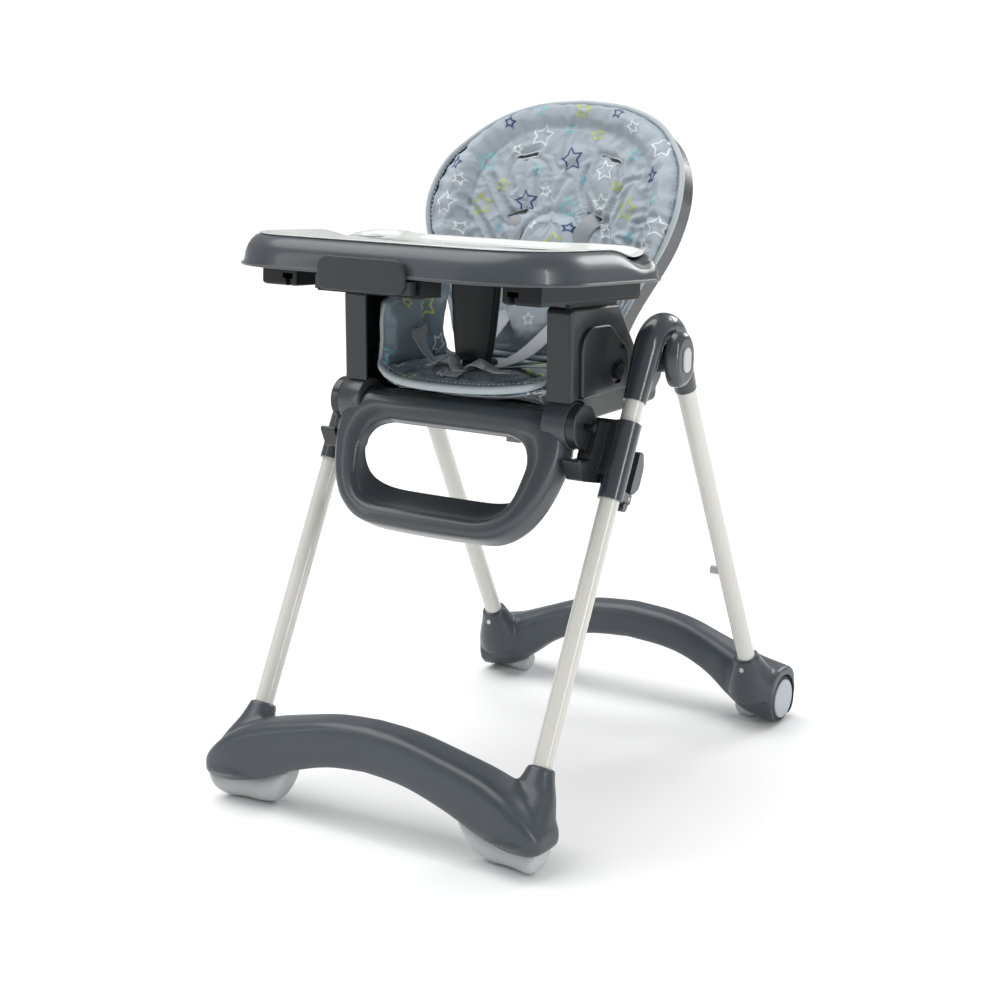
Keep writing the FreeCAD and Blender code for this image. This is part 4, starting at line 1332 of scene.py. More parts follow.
@dataclass
class Quilt:
    """A sewn pad: a crowned front skin over a flat back, swollen between its seams."""

    name: str
    body: str
    stands_for: tuple
    outline: list
    centre: Vector
    place: Callable[[float, float, float], Vector]
    front: Callable[[Vector, float], float]
    back: Callable[[Vector], float]
    seams: list
    finish: Finish = COVER
    rings: int = 44
    spokes: int = 168
    puff: Puff = field(default_factory=Puff)
    fill: float = 0.6
    hold: float = 0.007
    sewn: np.ndarray | None = field(init=False, default=None)

    def gap(self, p: Vector) -> float:
        """Distance from a place on the front to the nearest seam.

        Args:
            p: a place on the flat cloth.

        Returns:
            The distance.
        """
        if not self.seams:
            return 1.0
        if self.sewn is None:
            self.sewn = np.array([(q.x, q.y) for line in self.seams for q in line])
        return float(np.min(np.hypot(self.sewn[:, 0] - p.x, self.sewn[:, 1] - p.y)))

    def build(self) -> bpy.types.Object:
        """Makes the pad.

        Returns:
            The pad.
        """
        picks = [self.outline[int(i * len(self.outline) / self.spokes)] for i in range(self.spokes)]
        flat = [self.centre] + [self.centre.lerp(p, r / self.rings)
                                for r in range(1, self.rings + 1) for p in picks]
        shares = [0.0] + [r / self.rings for r in range(1, self.rings + 1) for _ in picks]
        points = [self.place(p.x, p.y, self.front(p, share)) for p, share in zip(flat, shares)]
        faces = [(0, 1 + c, 1 + (c + 1) % self.spokes) for c in range(self.spokes)]
        faces += [tuple(1 + k for k in f) for f in grid_faces(self.rings, self.spokes, True)]
        holds = [max(1.0 - step(0.002, self.hold, self.gap(p)), step(0.965, 0.99, share))
                 for p, share in zip(flat, shares)]
        rim = len(points) - self.spokes
        base = len(points)
        for p in picks:
            q = p + (self.centre - p).normalized() * 0.004
            points.append(self.place(q.x, q.y, self.back(q)))
            flat.append(q)
        points.append(self.place(self.centre.x, self.centre.y, self.back(self.centre)))
        flat.append(self.centre)
        holds += [1.0] * (self.spokes + 1)
        for c in range(self.spokes):
            d = (c + 1) % self.spokes
            faces += [(rim + c, rim + d, base + d, base + c), (base + c, base + d, len(points) - 1)]
        pad = new_piece(self.name, points, faces, self.finish, self.body, self.stands_for)
        self.puff.run(pad, holds)
        smooth = pad.modifiers.new("smooth", "SUBSURF")
        smooth.levels = smooth.render_levels = 1
        lay_flat(pad, [(p.x, p.y) for p in flat])
        return pad


@dataclass
class StarPrint:
    """Outline stars printed on the back pad: centre, radius and ink of each."""

    line: float = 0.0026
    lift: float = 0.0004
    notch: float = 0.50
    stars: tuple = (
        (-0.119, 0.406, 0.0088, "NAVY"), (-0.066, 0.431, 0.0104, "TURQUOISE"), (0.012, 0.433, 0.0140, "LIME"),
        (0.077, 0.429, 0.0093, "NAVY"), (-0.059, 0.390, 0.0197, "WHITE"),
        (-0.010, 0.403, 0.0093, "TURQUOISE"), (0.044, 0.395, 0.0104, "LIME"), (0.112, 0.405, 0.0104, "WHITE"),
        (0.177, 0.370, 0.0190, "WHITE"), (-0.146, 0.338, 0.0171, "TURQUOISE"),
        (-0.098, 0.364, 0.0078, "WHITE"), (-0.179, 0.300, 0.0093, "WHITE"), (-0.194, 0.328, 0.0114, "NAVY"),
        (-0.110, 0.301, 0.0104, "LIME"), (-0.052, 0.331, 0.0078, "TURQUOISE"), (0.006, 0.351, 0.0197, "NAVY"),
        (0.074, 0.333, 0.0171, "WHITE"), (0.122, 0.360, 0.0104, "TURQUOISE"), (0.168, 0.325, 0.0104, "NAVY"),
        (-0.030, 0.296, 0.0088, "WHITE"), (0.038, 0.319, 0.0078, "TURQUOISE"), (0.102, 0.308, 0.0078, "LIME"),
        (-0.194, 0.257, 0.0192, "WHITE"), (-0.138, 0.264, 0.0181, "LIME"), (-0.062, 0.277, 0.0186, "NAVY"),
        (0.018, 0.271, 0.0171, "TURQUOISE"), (0.078, 0.280, 0.0145, "WHITE"), (0.134, 0.269, 0.0186, "LIME"),
        (0.188, 0.283, 0.0104, "TURQUOISE"), (-0.164, 0.222, 0.0104, "WHITE"),
        (-0.031, 0.235, 0.0088, "WHITE"), (-0.098, 0.229, 0.0078, "TURQUOISE"),
        (0.036, 0.234, 0.0088, "NAVY"), (0.019, 0.206, 0.0171, "LIME"), (0.101, 0.232, 0.0104, "WHITE"),
        (0.207, 0.237, 0.0175, "WHITE"), (0.150, 0.226, 0.0072, "TURQUOISE"), (0.188, 0.206, 0.0120, "WHITE"),
        (-0.118, 0.176, 0.0180, "WHITE"), (-0.024, 0.160, 0.0170, "NAVY"),
        (0.110, 0.170, 0.0180, "TURQUOISE"), (0.060, 0.120, 0.0170, "LIME"), (-0.080, 0.110, 0.0170, "LIME"),
        (0.000, 0.080, 0.0100, "WHITE"))

    def ring(self, centre: Vector, radius: float, turn: float, out: float) -> list[Vector]:
        """One edge of a star's line, moved outwards from its middle.

        Args:
            centre: the star's middle.
            radius: its reach to a tip.
            turn: its turn in radians.
            out: how far the edge is moved.

        Returns:
            The edge's points.
        """
        corners = []
        for k in range(10):
            reach = radius * (1.0 if k % 2 == 0 else self.notch)
            a = turn + math.tau * k / 10
            corners.append(Vector((math.sin(a), math.cos(a), 0)) * reach)
        moved = []
        for k, at in enumerate(corners):
            before = (at - corners[k - 1]).normalized()
            after = (corners[(k + 1) % 10] - at).normalized()
            n1, n2 = Vector((-before.y, before.x, 0)), Vector((-after.y, after.x, 0))
            moved.append(at + (n1 + n2) / (1.0 + n1.dot(n2)) * out)
        line = []
        for k, at in enumerate(moved):
            after = moved[(k + 1) % 10]
            line += [centre + at.lerp(after, j / 7) for j in range(7)]
        return line

    def build(self, pad: bpy.types.Object) -> None:
        """Lays the stars on the pad's finished surface, one piece to an ink.

        Args:
            pad: the pad that wears them.
        """
        surface = BVHTree.FromObject(pad, bpy.context.evaluated_depsgraph_get())
        inward = (BACK.out(0, 1, 0) - BACK.out(0, 0, 0)).normalized()
        for ink in Ink:
            points: list[Vector] = []
            faces: list[tuple[int, ...]] = []
            flat: list[tuple[float, float]] = []
            for number, (x, up, radius, name) in enumerate(self.stars):
                if name != ink.name:
                    continue
                turn = 0.25 * math.sin(7.0 * number)
                inner, outer = (self.ring(Vector((x, up, 0)), radius, turn, w * self.line / 2)
                                for w in (1, -1))
                hits = []
                for p in inner + outer:
                    hit = surface.ray_cast(BACK.out(p.x, -0.2, p.y), inward, 0.25)
                    hits.append(None if hit[0] is None else hit[0] + hit[1] * self.lift)
                base, count = len(points), len(inner)
                points += [BACK.out(0, 0, 0) if h is None else h for h in hits]
                flat += [(p.x, p.y) for p in inner + outer]
                for k in range(count):
                    loop = (k, (k + 1) % count, count + (k + 1) % count, count + k)
                    if all(hits[i] is not None for i in loop):
                        faces.append(tuple(base + i for i in loop))
            stars = new_piece("stars_" + ink.name.lower(), points, faces, ink.cloth, "backrest")
            print_map(stars, lambda co: (co.x, BACK.back(co).z))


@dataclass
class BackCover:
    """Padded back of the seat cover: bolster, sewn folds, head pad, piping and strap slots."""

    outline: tuple = ((0.0, 0.028), (0.110, 0.030), (0.138, 0.048), (0.156, 0.092), (0.184, 0.150),
                      (0.216, 0.208), (0.229, 0.262), (0.222, 0.320), (0.201, 0.361), (0.152, 0.411),
                      (0.084, 0.440), (0.0, 0.449))
    centre: tuple = (0.0, 0.245)
    rim: float = -0.0275
    hollow: float = 0.040
    arch: tuple = ((-0.140, 0.060), (-0.150, 0.130), (-0.157, 0.194), (-0.163, 0.265), (-0.157, 0.321),
                   (-0.134, 0.366), (-0.088, 0.399), (-0.008, 0.411), (0.072, 0.400), (0.130, 0.367),
                   (0.163, 0.321), (0.173, 0.263), (0.170, 0.193), (0.158, 0.130), (0.146, 0.060))
    folds: tuple = (
        (((-0.131, 0.314), (-0.110, 0.284), (-0.086, 0.255)), 0.0055, 0.0050),
        (((-0.171, 0.270), (-0.144, 0.252), (-0.110, 0.211), (-0.096, 0.178)), 0.0050, 0.0045),
        (((-0.059, 0.352), (-0.038, 0.338), (-0.025, 0.306), (-0.022, 0.281)), 0.0035, 0.0045),
        (((-0.056, 0.323), (-0.049, 0.297), (-0.045, 0.270)), 0.0038, 0.0042),
        (((-0.101, 0.346), (-0.102, 0.322), (-0.090, 0.296)), 0.0038, 0.0045),
        (((-0.079, 0.343), (-0.075, 0.315), (-0.070, 0.290)), 0.0024, 0.0038),
        (((0.039, 0.338), (0.038, 0.301), (0.060, 0.268)), 0.0050, 0.0046),
        (((0.099, 0.344), (0.107, 0.299), (0.096, 0.252)), 0.0050, 0.0050),
        (((0.097, 0.252), (0.107, 0.223), (0.106, 0.187)), 0.0045, 0.0048),
        (((0.107, 0.299), (0.125, 0.316), (0.142, 0.319)), 0.0034, 0.0046),
        (((0.157, 0.249), (0.193, 0.254), (0.222, 0.250)), 0.0034, 0.0042),
        (((0.136, 0.192), (0.156, 0.223), (0.160, 0.244)), 0.0044, 0.0055),
        (((0.133, 0.221), (0.171, 0.207), (0.208, 0.205)), 0.0034, 0.0042),
        (((-0.008, 0.398), (-0.014, 0.378), (-0.010, 0.352)), 0.0022, 0.0046),
        (((0.060, 0.352), (0.048, 0.372), (0.046, 0.392)), 0.0020, 0.0046),
        (((-0.118, 0.352), (-0.106, 0.372), (-0.078, 0.384)), 0.0022, 0.0050),
        (((0.120, 0.344), (0.136, 0.338), (0.150, 0.312)), 0.0022, 0.0050),
        (((-0.020, 0.262), (-0.006, 0.300), (0.004, 0.322)), 0.0020, 0.0055),
        (((-0.150, 0.206), (-0.130, 0.180), (-0.120, 0.140)), 0.0038, 0.0058),
        (((0.112, 0.150), (0.128, 0.120), (0.132, 0.080)), 0.0030, 0.0060))
    hump: tuple = (-0.001, 0.150, 0.056, 0.112)
    slots: tuple = ((0.079, 0.354, 0.044, 0.28), (0.0725, 0.2575, 0.037, 0.36))
    pleats: int = 46
    sewn_folds: int = 9
    strap_width: float = 0.031
    around: np.ndarray = field(init=False)
    angles: np.ndarray = field(init=False)
    reaches: np.ndarray = field(init=False)
    creases: list = field(init=False)

    def edge(self, inset: float) -> list[Vector]:
        """Outline in the back frame, moved inwards.

        Args:
            inset: how far inwards.

        Returns:
            The closed outline's points.
        """
        half = smooth_line(self.outline, 14)
        whole = half + [Vector((-p.x, p.y, 0)) for p in reversed(half[1:-1])]
        centre = Vector((*self.centre, 0.0))
        return [p + (centre - p).normalized() * inset for p in whole]

    def cup(self, p: Vector) -> float:
        """How far the sheet comes forward at a place."""
        fade = 1.0 - max(0.0, p.y - 0.12) ** 3 / 0.35 ** 3
        return self.hollow * fade * (p.x / 0.21) ** 2

    def hump_share(self, p: Vector) -> float:
        """0 at the middle of the head pad, 1 on its seam and more outside."""
        x, up, half, tall = self.hump
        return (abs((p.x - x) / half) ** 2.6 + abs((p.y - up) / tall) ** 2.6) ** (1 / 2.6)

    def depth(self, p: Vector, share: float) -> float:
        """Front surface of the pad; negative is towards the child.

        Args:
            p: a place on the flat cloth.
            share: 0 at the pad's middle, 1 on its rim.

        Returns:
            Depth in the back frame.
        """
        n = self.rim - self.cup(p) - 0.004 - 0.010 * (1 - share ** 4)
        around = self.around
        near = float(np.min(np.hypot(around[:, 0] - p.x, around[:, 1] - p.y)))
        outside = 1.0 if share > 0.55 and self.beyond(p) else 0.0
        n -= 0.013 * outside * math.sin(math.pi * min(1.0, near / 0.050)) * step(0.04, 0.14, p.y)
        n += 0.0065 * math.exp(-(near / 0.0055) ** 2)
        for line, (_, deep, wide) in zip(self.creases, self.folds):
            d = float(np.min(np.hypot(line[:, 0] - p.x, line[:, 1] - p.y)))
            if d < 4 * wide:
                n += (deep * math.exp(-(d / wide) ** 2)
                      - 0.45 * deep * math.exp(-((d - 2.1 * wide) / wide) ** 2))
        hump = self.hump_share(p)
        n -= 0.017 * (1 - step(0.80, 1.0, hump))
        n += 0.004 * math.exp(-((hump - 1.03) / 0.05) ** 2)
        for x, up, half, slope in self.slots:
            for sign in (-1, 1):
                du, dv = p.x - sign * x, p.y - up + sign * slope * (p.x - sign * x)
                n += 0.007 * math.exp(-(du / (half * 0.52)) ** 4) * math.exp(-(dv / 0.0095) ** 2)
        angle = math.atan2(p.y - self.centre[1], p.x - self.centre[0])
        pleat = math.sin(self.pleats * angle + 2.2 * math.sin(5.0 * angle) + 1.3 * math.sin(11.0 * angle))
        n += 0.0011 * pleat * (math.exp(-((near - 0.012) / 0.012) ** 2) + step(0.80, 0.97, share))
        return n + 0.012 * step(0.955, 1.0, share)

    def beyond(self, p: Vector) -> bool:
        """Whether a place lies outside the arch seam.

        Args:
            p: a place on the flat cloth.

        Returns:
            True outside the seam.
        """
        angle = math.atan2(p.y - self.centre[1], p.x - self.centre[0])
        reach = math.hypot(p.x - self.centre[0], p.y - self.centre[1])
        i = int(np.argmin(np.abs((self.angles - angle + math.pi) % math.tau - math.pi)))
        return reach > self.reaches[i]

    def build(self) -> None:
        """Makes the pad, its piping, stitching, slots and shoulder straps."""
        arch = smooth_line(self.arch, 10)
        self.around = np.array([(q.x, q.y) for q in arch])
        self.angles = np.arctan2(self.around[:, 1] - self.centre[1], self.around[:, 0] - self.centre[0])
        self.reaches = np.hypot(self.around[:, 1] - self.centre[1], self.around[:, 0] - self.centre[0])
        lines = [smooth_line(line, 8) for line, _, _ in self.folds]
        self.creases = [np.array([(q.x, q.y) for q in line]) for line in lines]
        pad = Quilt("back_pad", "backrest", ("back_cushion",), self.edge(-0.001), Vector((*self.centre, 0)),
                    lambda x, up, n: BACK.out(x, n, up), self.depth, lambda p: -0.010 - self.cup(p),
                    [arch, *lines[:self.sewn_folds]],
                    rings=64, spokes=224, puff=Puff(pressure=4.0, slack=0.06, cap=0.008), hold=0.009)
        StarPrint().build(pad.build())
        rim = [BACK.out(p.x, self.rim - 0.001 - self.cup(p), p.y) for p in self.edge(-0.0018)[::3]]
        points, faces = sweep(rim, 0.0044, 10, closed=True)
        cord = new_piece("back_piping", points, faces, PIPING, "backrest")
        print_map(cord, lambda co: (co.x + co.z, co.y))
        sewn = [BACK.out(p.x, self.rim - 0.0078 - self.cup(p), p.y) for p in self.edge(0.0072)]
        stitches("back_rim_stitching", sewn + sewn[:1], 0.0075, "backrest", THREAD)
        for number, (x, up, half, slope) in enumerate(self.slots):
            for side in Side:
                self._slot("strap_slot_%s_%d" % (side.word, number + 1), side.value * x, up, half,
                           -side.value * slope, number == 0)
        self._straps()

    def _slot(self, name: str, x: float, up: float, width: float, slope: float, empty: bool) -> None:
        """One strap slot: a sewn white border round a dark sheet of painted shade that stands for the
        opening.

        Args:
            name: start of its pieces' names.
            x: place of its middle across.
            up: place of its middle upwards.
            width: its width.
            slope: its rise for each metre across.
            empty: whether no strap leaves it.
        """
        ring = []
        for k in range(48):
            c, s = math.cos(math.tau * k / 48), math.sin(math.tau * k / 48)
            u = width / 2 * math.copysign(abs(c) ** 0.35, c)
            v = 0.0042 * math.copysign(abs(s) ** 0.6, s)
            p = Vector((x + u, up + v + slope * u, 0))
            ring.append(p)
        front = [BACK.out(p.x, self.depth(p, self.share(p)) - 0.0016, p.y) for p in ring]
        points, faces = sweep(front, 0.0014 if empty else 0.0010, 6, closed=True)
        border = new_piece(name + "_border", points, faces, THREAD if empty else PIPING, "backrest")
        print_map(border, lambda co: (co.x, co.z))
        # The opening is a dark sheet of painted shade, sunk a little into the pad.
        levels = ((0.55, -0.0008), (0.72, -0.0016), (0.72, 0.0012), (0.30, 0.0016))
        rings = []
        for share, lift in levels:
            rings.append([BACK.out(x + (p.x - x) * share, self.depth(p, self.share(p)) + lift,
                                   up + (p.y - up) * share) for p in ring])
        points, faces = capped(rings)
        slot_shade = new_piece(name + "_slit", points, faces, SLOT_SHADE, "backrest")
        print_map(slot_shade, lambda co: (co.x, co.z))

    def share(self, p: Vector) -> float:
        """Rough place between the middle, 0, and the rim, 1."""
        return min(1.0, math.hypot((p.x - self.centre[0]) / 0.21, (p.y - self.centre[1]) / 0.215))

    def _straps(self) -> None:
        """Shoulder straps from the lower slots down over the pad to the buckle."""
        paths = {
            Side.LEFT: ((-0.0690, 0.258, 0.001), (-0.0690, 0.251, -0.007), (-0.0690, 0.225, -0.010),
                        (-0.0680, 0.180, -0.012), (-0.062, 0.130, -0.012), (-0.052, 0.090, -0.016)),
            Side.RIGHT: ((0.0780, 0.2600, 0.001), (0.0755, 0.253, -0.009), (0.064, 0.232, -0.015),
                         (0.0575, 0.205, -0.013), (0.056, 0.150, -0.012), (0.053, 0.090, -0.016))}
        for side, rows in paths.items():
            line = []
            for x, up, lift in smooth_line(rows, 8):
                p = Vector((x, up, 0))
                line.append(BACK.out(x, self.depth(p, self.share(p)) + lift + 0.004, up))
            seat = [(side.value * 0.046, -0.020, 0.690), (side.value * 0.036, -0.060, 0.674),
                    (side.value * 0.022, -0.096, 0.668)]
            line = smooth_line([tuple(p) for p in line[::4]] + seat, 5)
            turn = 0.5 if side is Side.RIGHT else 0.0

            def across(t: float, turn: float = turn) -> Vector:
                """Direction of the strap's width."""
                return Vector((1.0, 0.0, -turn * math.exp(-((t - 0.14) / 0.12) ** 2)))

            strap = ribbon("shoulder_strap_" + side.word, line, across, self.strap_width, None,
                           ["shoulder_straps"] if side is Side.LEFT else [])
            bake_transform(strap)


@dataclass
class SeatCover:
    """Seat cushion, padded sides, the edge piping that joins them, and the lower harness."""

    half: float = 0.1565
    side_front: float = -0.150
    nose: float = -0.218
    rear: float = 0.036
    top: float = 0.650
    wing: tuple = ((-0.144, 0.652), (-0.146, 0.700), (-0.146, 0.745), (-0.134, 0.764), (-0.070, 0.768),
                   (-0.010, 0.776), (0.030, 0.778), (0.036, 0.768), (0.028, 0.730), (0.021, 0.690),
                   (0.019, 0.655), (-0.060, 0.6505))
    wing_face: float = 0.150
    wing_back: float = 0.1646

    def front_y(self, x: float) -> float:
        """Front edge of the cushion across its width."""
        return self.nose + (self.side_front - self.nose) * abs(x / self.half) ** 2.3

    def underside(self, p: Vector) -> float:
        """Height of the cushion's underside."""
        return 0.6085 + 0.0330 * (1.0 - step(-0.165, -0.118, p.y)) + 0.003 * (1.0 - step(-0.218, -0.165, p.y))

    def plan(self) -> list[Vector]:
        """Plan outline of the cushion, front edge first.

        Returns:
            The outline's points.
        """
        front = [Vector((x, self.front_y(x), 0)) for x in np.linspace(-self.half, self.half, 90)]
        right = [Vector((self.half, y, 0)) for y in np.linspace(self.side_front, self.rear, 34)[1:]]
        back = [Vector((x, self.rear, 0)) for x in np.linspace(self.half, -self.half, 64)[1:]]
        left = [Vector((-self.half, y, 0)) for y in np.linspace(self.rear, self.side_front, 34)[1:-1]]
        return front + right + back + left

    def seat_top(self, p: Vector, share: float) -> float:
        """Height of the cushion's upper face.

        Args:
            p: a place on the flat cloth.
            share: 0 at the pad's middle, 1 on its rim.

        Returns:
            The height.
        """
        crown = 0.011 * (1 - share ** 3)
        roll = 0.008 * step(0.75, 1.0, share) ** 2
        along = math.exp(-((abs(p.x) - 0.096) / 0.006) ** 2) * step(-0.20, -0.15, p.y)
        behind = p.y - self.front_y(p.x)
        across = math.exp(-((behind - 0.048) / 0.007) ** 2) * (1 - step(0.08, 0.10, abs(p.x)))
        channel = 0.0045 * (along + across)
        lift = 0.018 * step(0.105, 0.156, abs(p.x)) * (1 - 0.5 * step(-0.10, 0.0, p.y))
        ripple = math.sin(p.x * 210 + 3 * math.sin(p.y * 60))
        pucker = 0.0016 * ripple * math.exp(-((behind - 0.022) / 0.018) ** 2)
        return self.top + crown - roll - channel + lift * 0.6 + pucker

    def build(self) -> None:
        """Makes the cushion, wings, piping, waist straps and buckle."""
        seams = [[Vector((sign * 0.096, y, 0)) for y in np.linspace(-0.17, 0.0, 40)] for sign in (-1, 1)]
        seams.append([Vector((x, self.front_y(x) + 0.048, 0)) for x in np.linspace(-0.09, 0.09, 50)])
        # The seat pad wears the star print darkened as painted shade.
        Quilt("seat_pad", "seat", ("seat_cushion",), self.plan(), Vector((0, -0.090, 0)),
              lambda x, y, z: Vector((x, y, z)), self.seat_top, self.underside, seams, PRINTED_IN_PAINTED_SHADE, rings=44,
              spokes=200,
              puff=Puff(pressure=4.0, slack=0.05, cap=0.006)).build()
        outline = [Vector((p.x, p.y, 0)) for p in smooth_line(self.wing, 14, closed=True)]
        for side in Side:
            sign = side.value

            def face(p: Vector, share: float) -> float:
                """Inner face of the padded side."""
                ridge = 0.0035 * math.exp(-((p.x + 0.055 - 0.3 * (p.y - 0.70)) / 0.006) ** 2)
                return self.wing_face - 0.002 - 0.009 * (1 - share ** 3) + 0.008 * step(0.9, 1.0,
                                                                                        share) ** 2 + ridge

            # The padded sides wear the star print darkened as painted shade.
            Quilt("side_pad_" + side.word, "seat", ("cushion_wings",) if side is Side.LEFT else (), outline,
                  Vector((-0.062, 0.706, 0)), lambda y, z, x, sign=sign: Vector((sign * x, y, z)), face,
                  lambda p: self.wing_back, [], PRINTED_IN_PAINTED_SHADE, rings=26, spokes=120,
                  puff=Puff(pressure=3.0, slack=0.05, cap=0.004)).build()
        self._piping()
        self._harness()

    def _piping(self) -> None:
        """Thick pale binding along the cushion's front that runs up both sides."""
        rise = [(-0.1525, -0.112, 0.765), (-0.1535, -0.138, 0.757), (-0.154, -0.1475, 0.735),
                (-0.154, -0.148, 0.700),
                (-0.1555, -0.150, 0.674), (-0.150, -0.160, 0.662)]
        front = [(x, self.front_y(x) - 0.001, 0.6505 + 0.010 * abs(x / self.half) ** 4)
                 for x in np.linspace(-0.130, 0.130, 15)]
        line = smooth_line(rise + front + [(-x, y, z) for x, y, z in reversed(rise)], 6)
        count = len(line)
        rings = []
        for i, at in enumerate(line):
            along = (line[min(i + 1, count - 1)] - line[max(i - 1, 0)]).normalized()
            share = abs(2 * i / (count - 1) - 1)
            radius = 0.0062 - 0.0030 * step(0.50, 0.68, share)
            side = along.cross(Vector((0.0, 1.0, 0.2))).normalized()
            rings.append(squircle(at, side * radius, along.cross(side) * radius * 0.8, 2.2, 12))
        points, faces = capped(rings)
        binding = new_piece("seat_binding", points, faces, PIPING, "seat")
        print_map(binding, lambda co: (co.x + co.z, co.y))
        sewn = [Vector((x, self.front_y(x) + 0.0075, 0.6585 + 0.010 * abs(x / self.half) ** 4))
                for x in np.linspace(-0.140, 0.140, 60)]
        stitches("seat_front_stitching", sewn, 0.0075, "seat", THREAD)

    def _harness(self) -> None:
        """Waist straps, crotch strap, crumpled spare webbing and the buckle."""
        flat = Vector((0.0, 1.0, 0.0))
        runs = {
            "waist_strap_right": [(0.148, -0.040, 0.680), (0.110, -0.070, 0.672), (0.060, -0.098, 0.669),
                                  (0.022, -0.106, 0.668)],
            "waist_strap_left": [(-0.148, -0.040, 0.684), (-0.128, -0.082, 0.712), (-0.104, -0.116, 0.700),
                                 (-0.070, -0.124, 0.672),
                                 (-0.022, -0.108, 0.668)],
            "spare_webbing_left": [(-0.066, -0.136, 0.670), (-0.044, -0.160, 0.676), (-0.020, -0.150, 0.688),
                                   (-0.004, -0.166, 0.676), (0.012, -0.176, 0.670)],
            "spare_webbing_right": [(0.010, -0.150, 0.672), (0.034, -0.168, 0.684), (0.052, -0.152, 0.675),
                                    (0.070, -0.166, 0.672), (0.088, -0.150, 0.672)]}
        for name, rows in runs.items():
            ribbon(name, smooth_line(rows, 8), lambda t: flat + Vector((0, 0, 0.18 * math.sin(7 * t))), 0.024,
                   "seat",
                   ["lap_straps"] if name == "waist_strap_right" else [])
        ribbon("crotch_strap",
               smooth_line([(0.0, -0.186, 0.663), (0.0, -0.160, 0.668), (0.0, -0.128, 0.669)], 6),
               lambda t: Vector((1.0, 0.0, 0.0)), 0.025, "seat")
        rings = []
        for z, inset in ((0.6655, 0.003), (0.6665, 0.0), (0.6745, 0.0), (0.6775, 0.0025), (0.6785, 0.008)):
            rings.append(squircle(Vector((0.0, -0.104, z)), Vector((0.025 - inset, 0, 0)),
                                  Vector((0, 0.024 - inset, 0)), 3.4))
        points, faces = capped(rings)
        new_piece("harness_buckle", points, faces, CHARCOAL_AND_PAINTED_SHADE, "seat", ["buckle"], levels=1)
        rings = [squircle(Vector((0.0, -0.104, z)), Vector((r, 0, 0)), Vector((0, r, 0)), 2.0)
                 for z, r in ((0.6780, 0.0105), (0.6800, 0.0100), (0.6806, 0.0085), (0.6802, 0.004))]
        points, faces = capped(rings)
        new_piece("buckle_button", points, faces, SLATE, "seat")


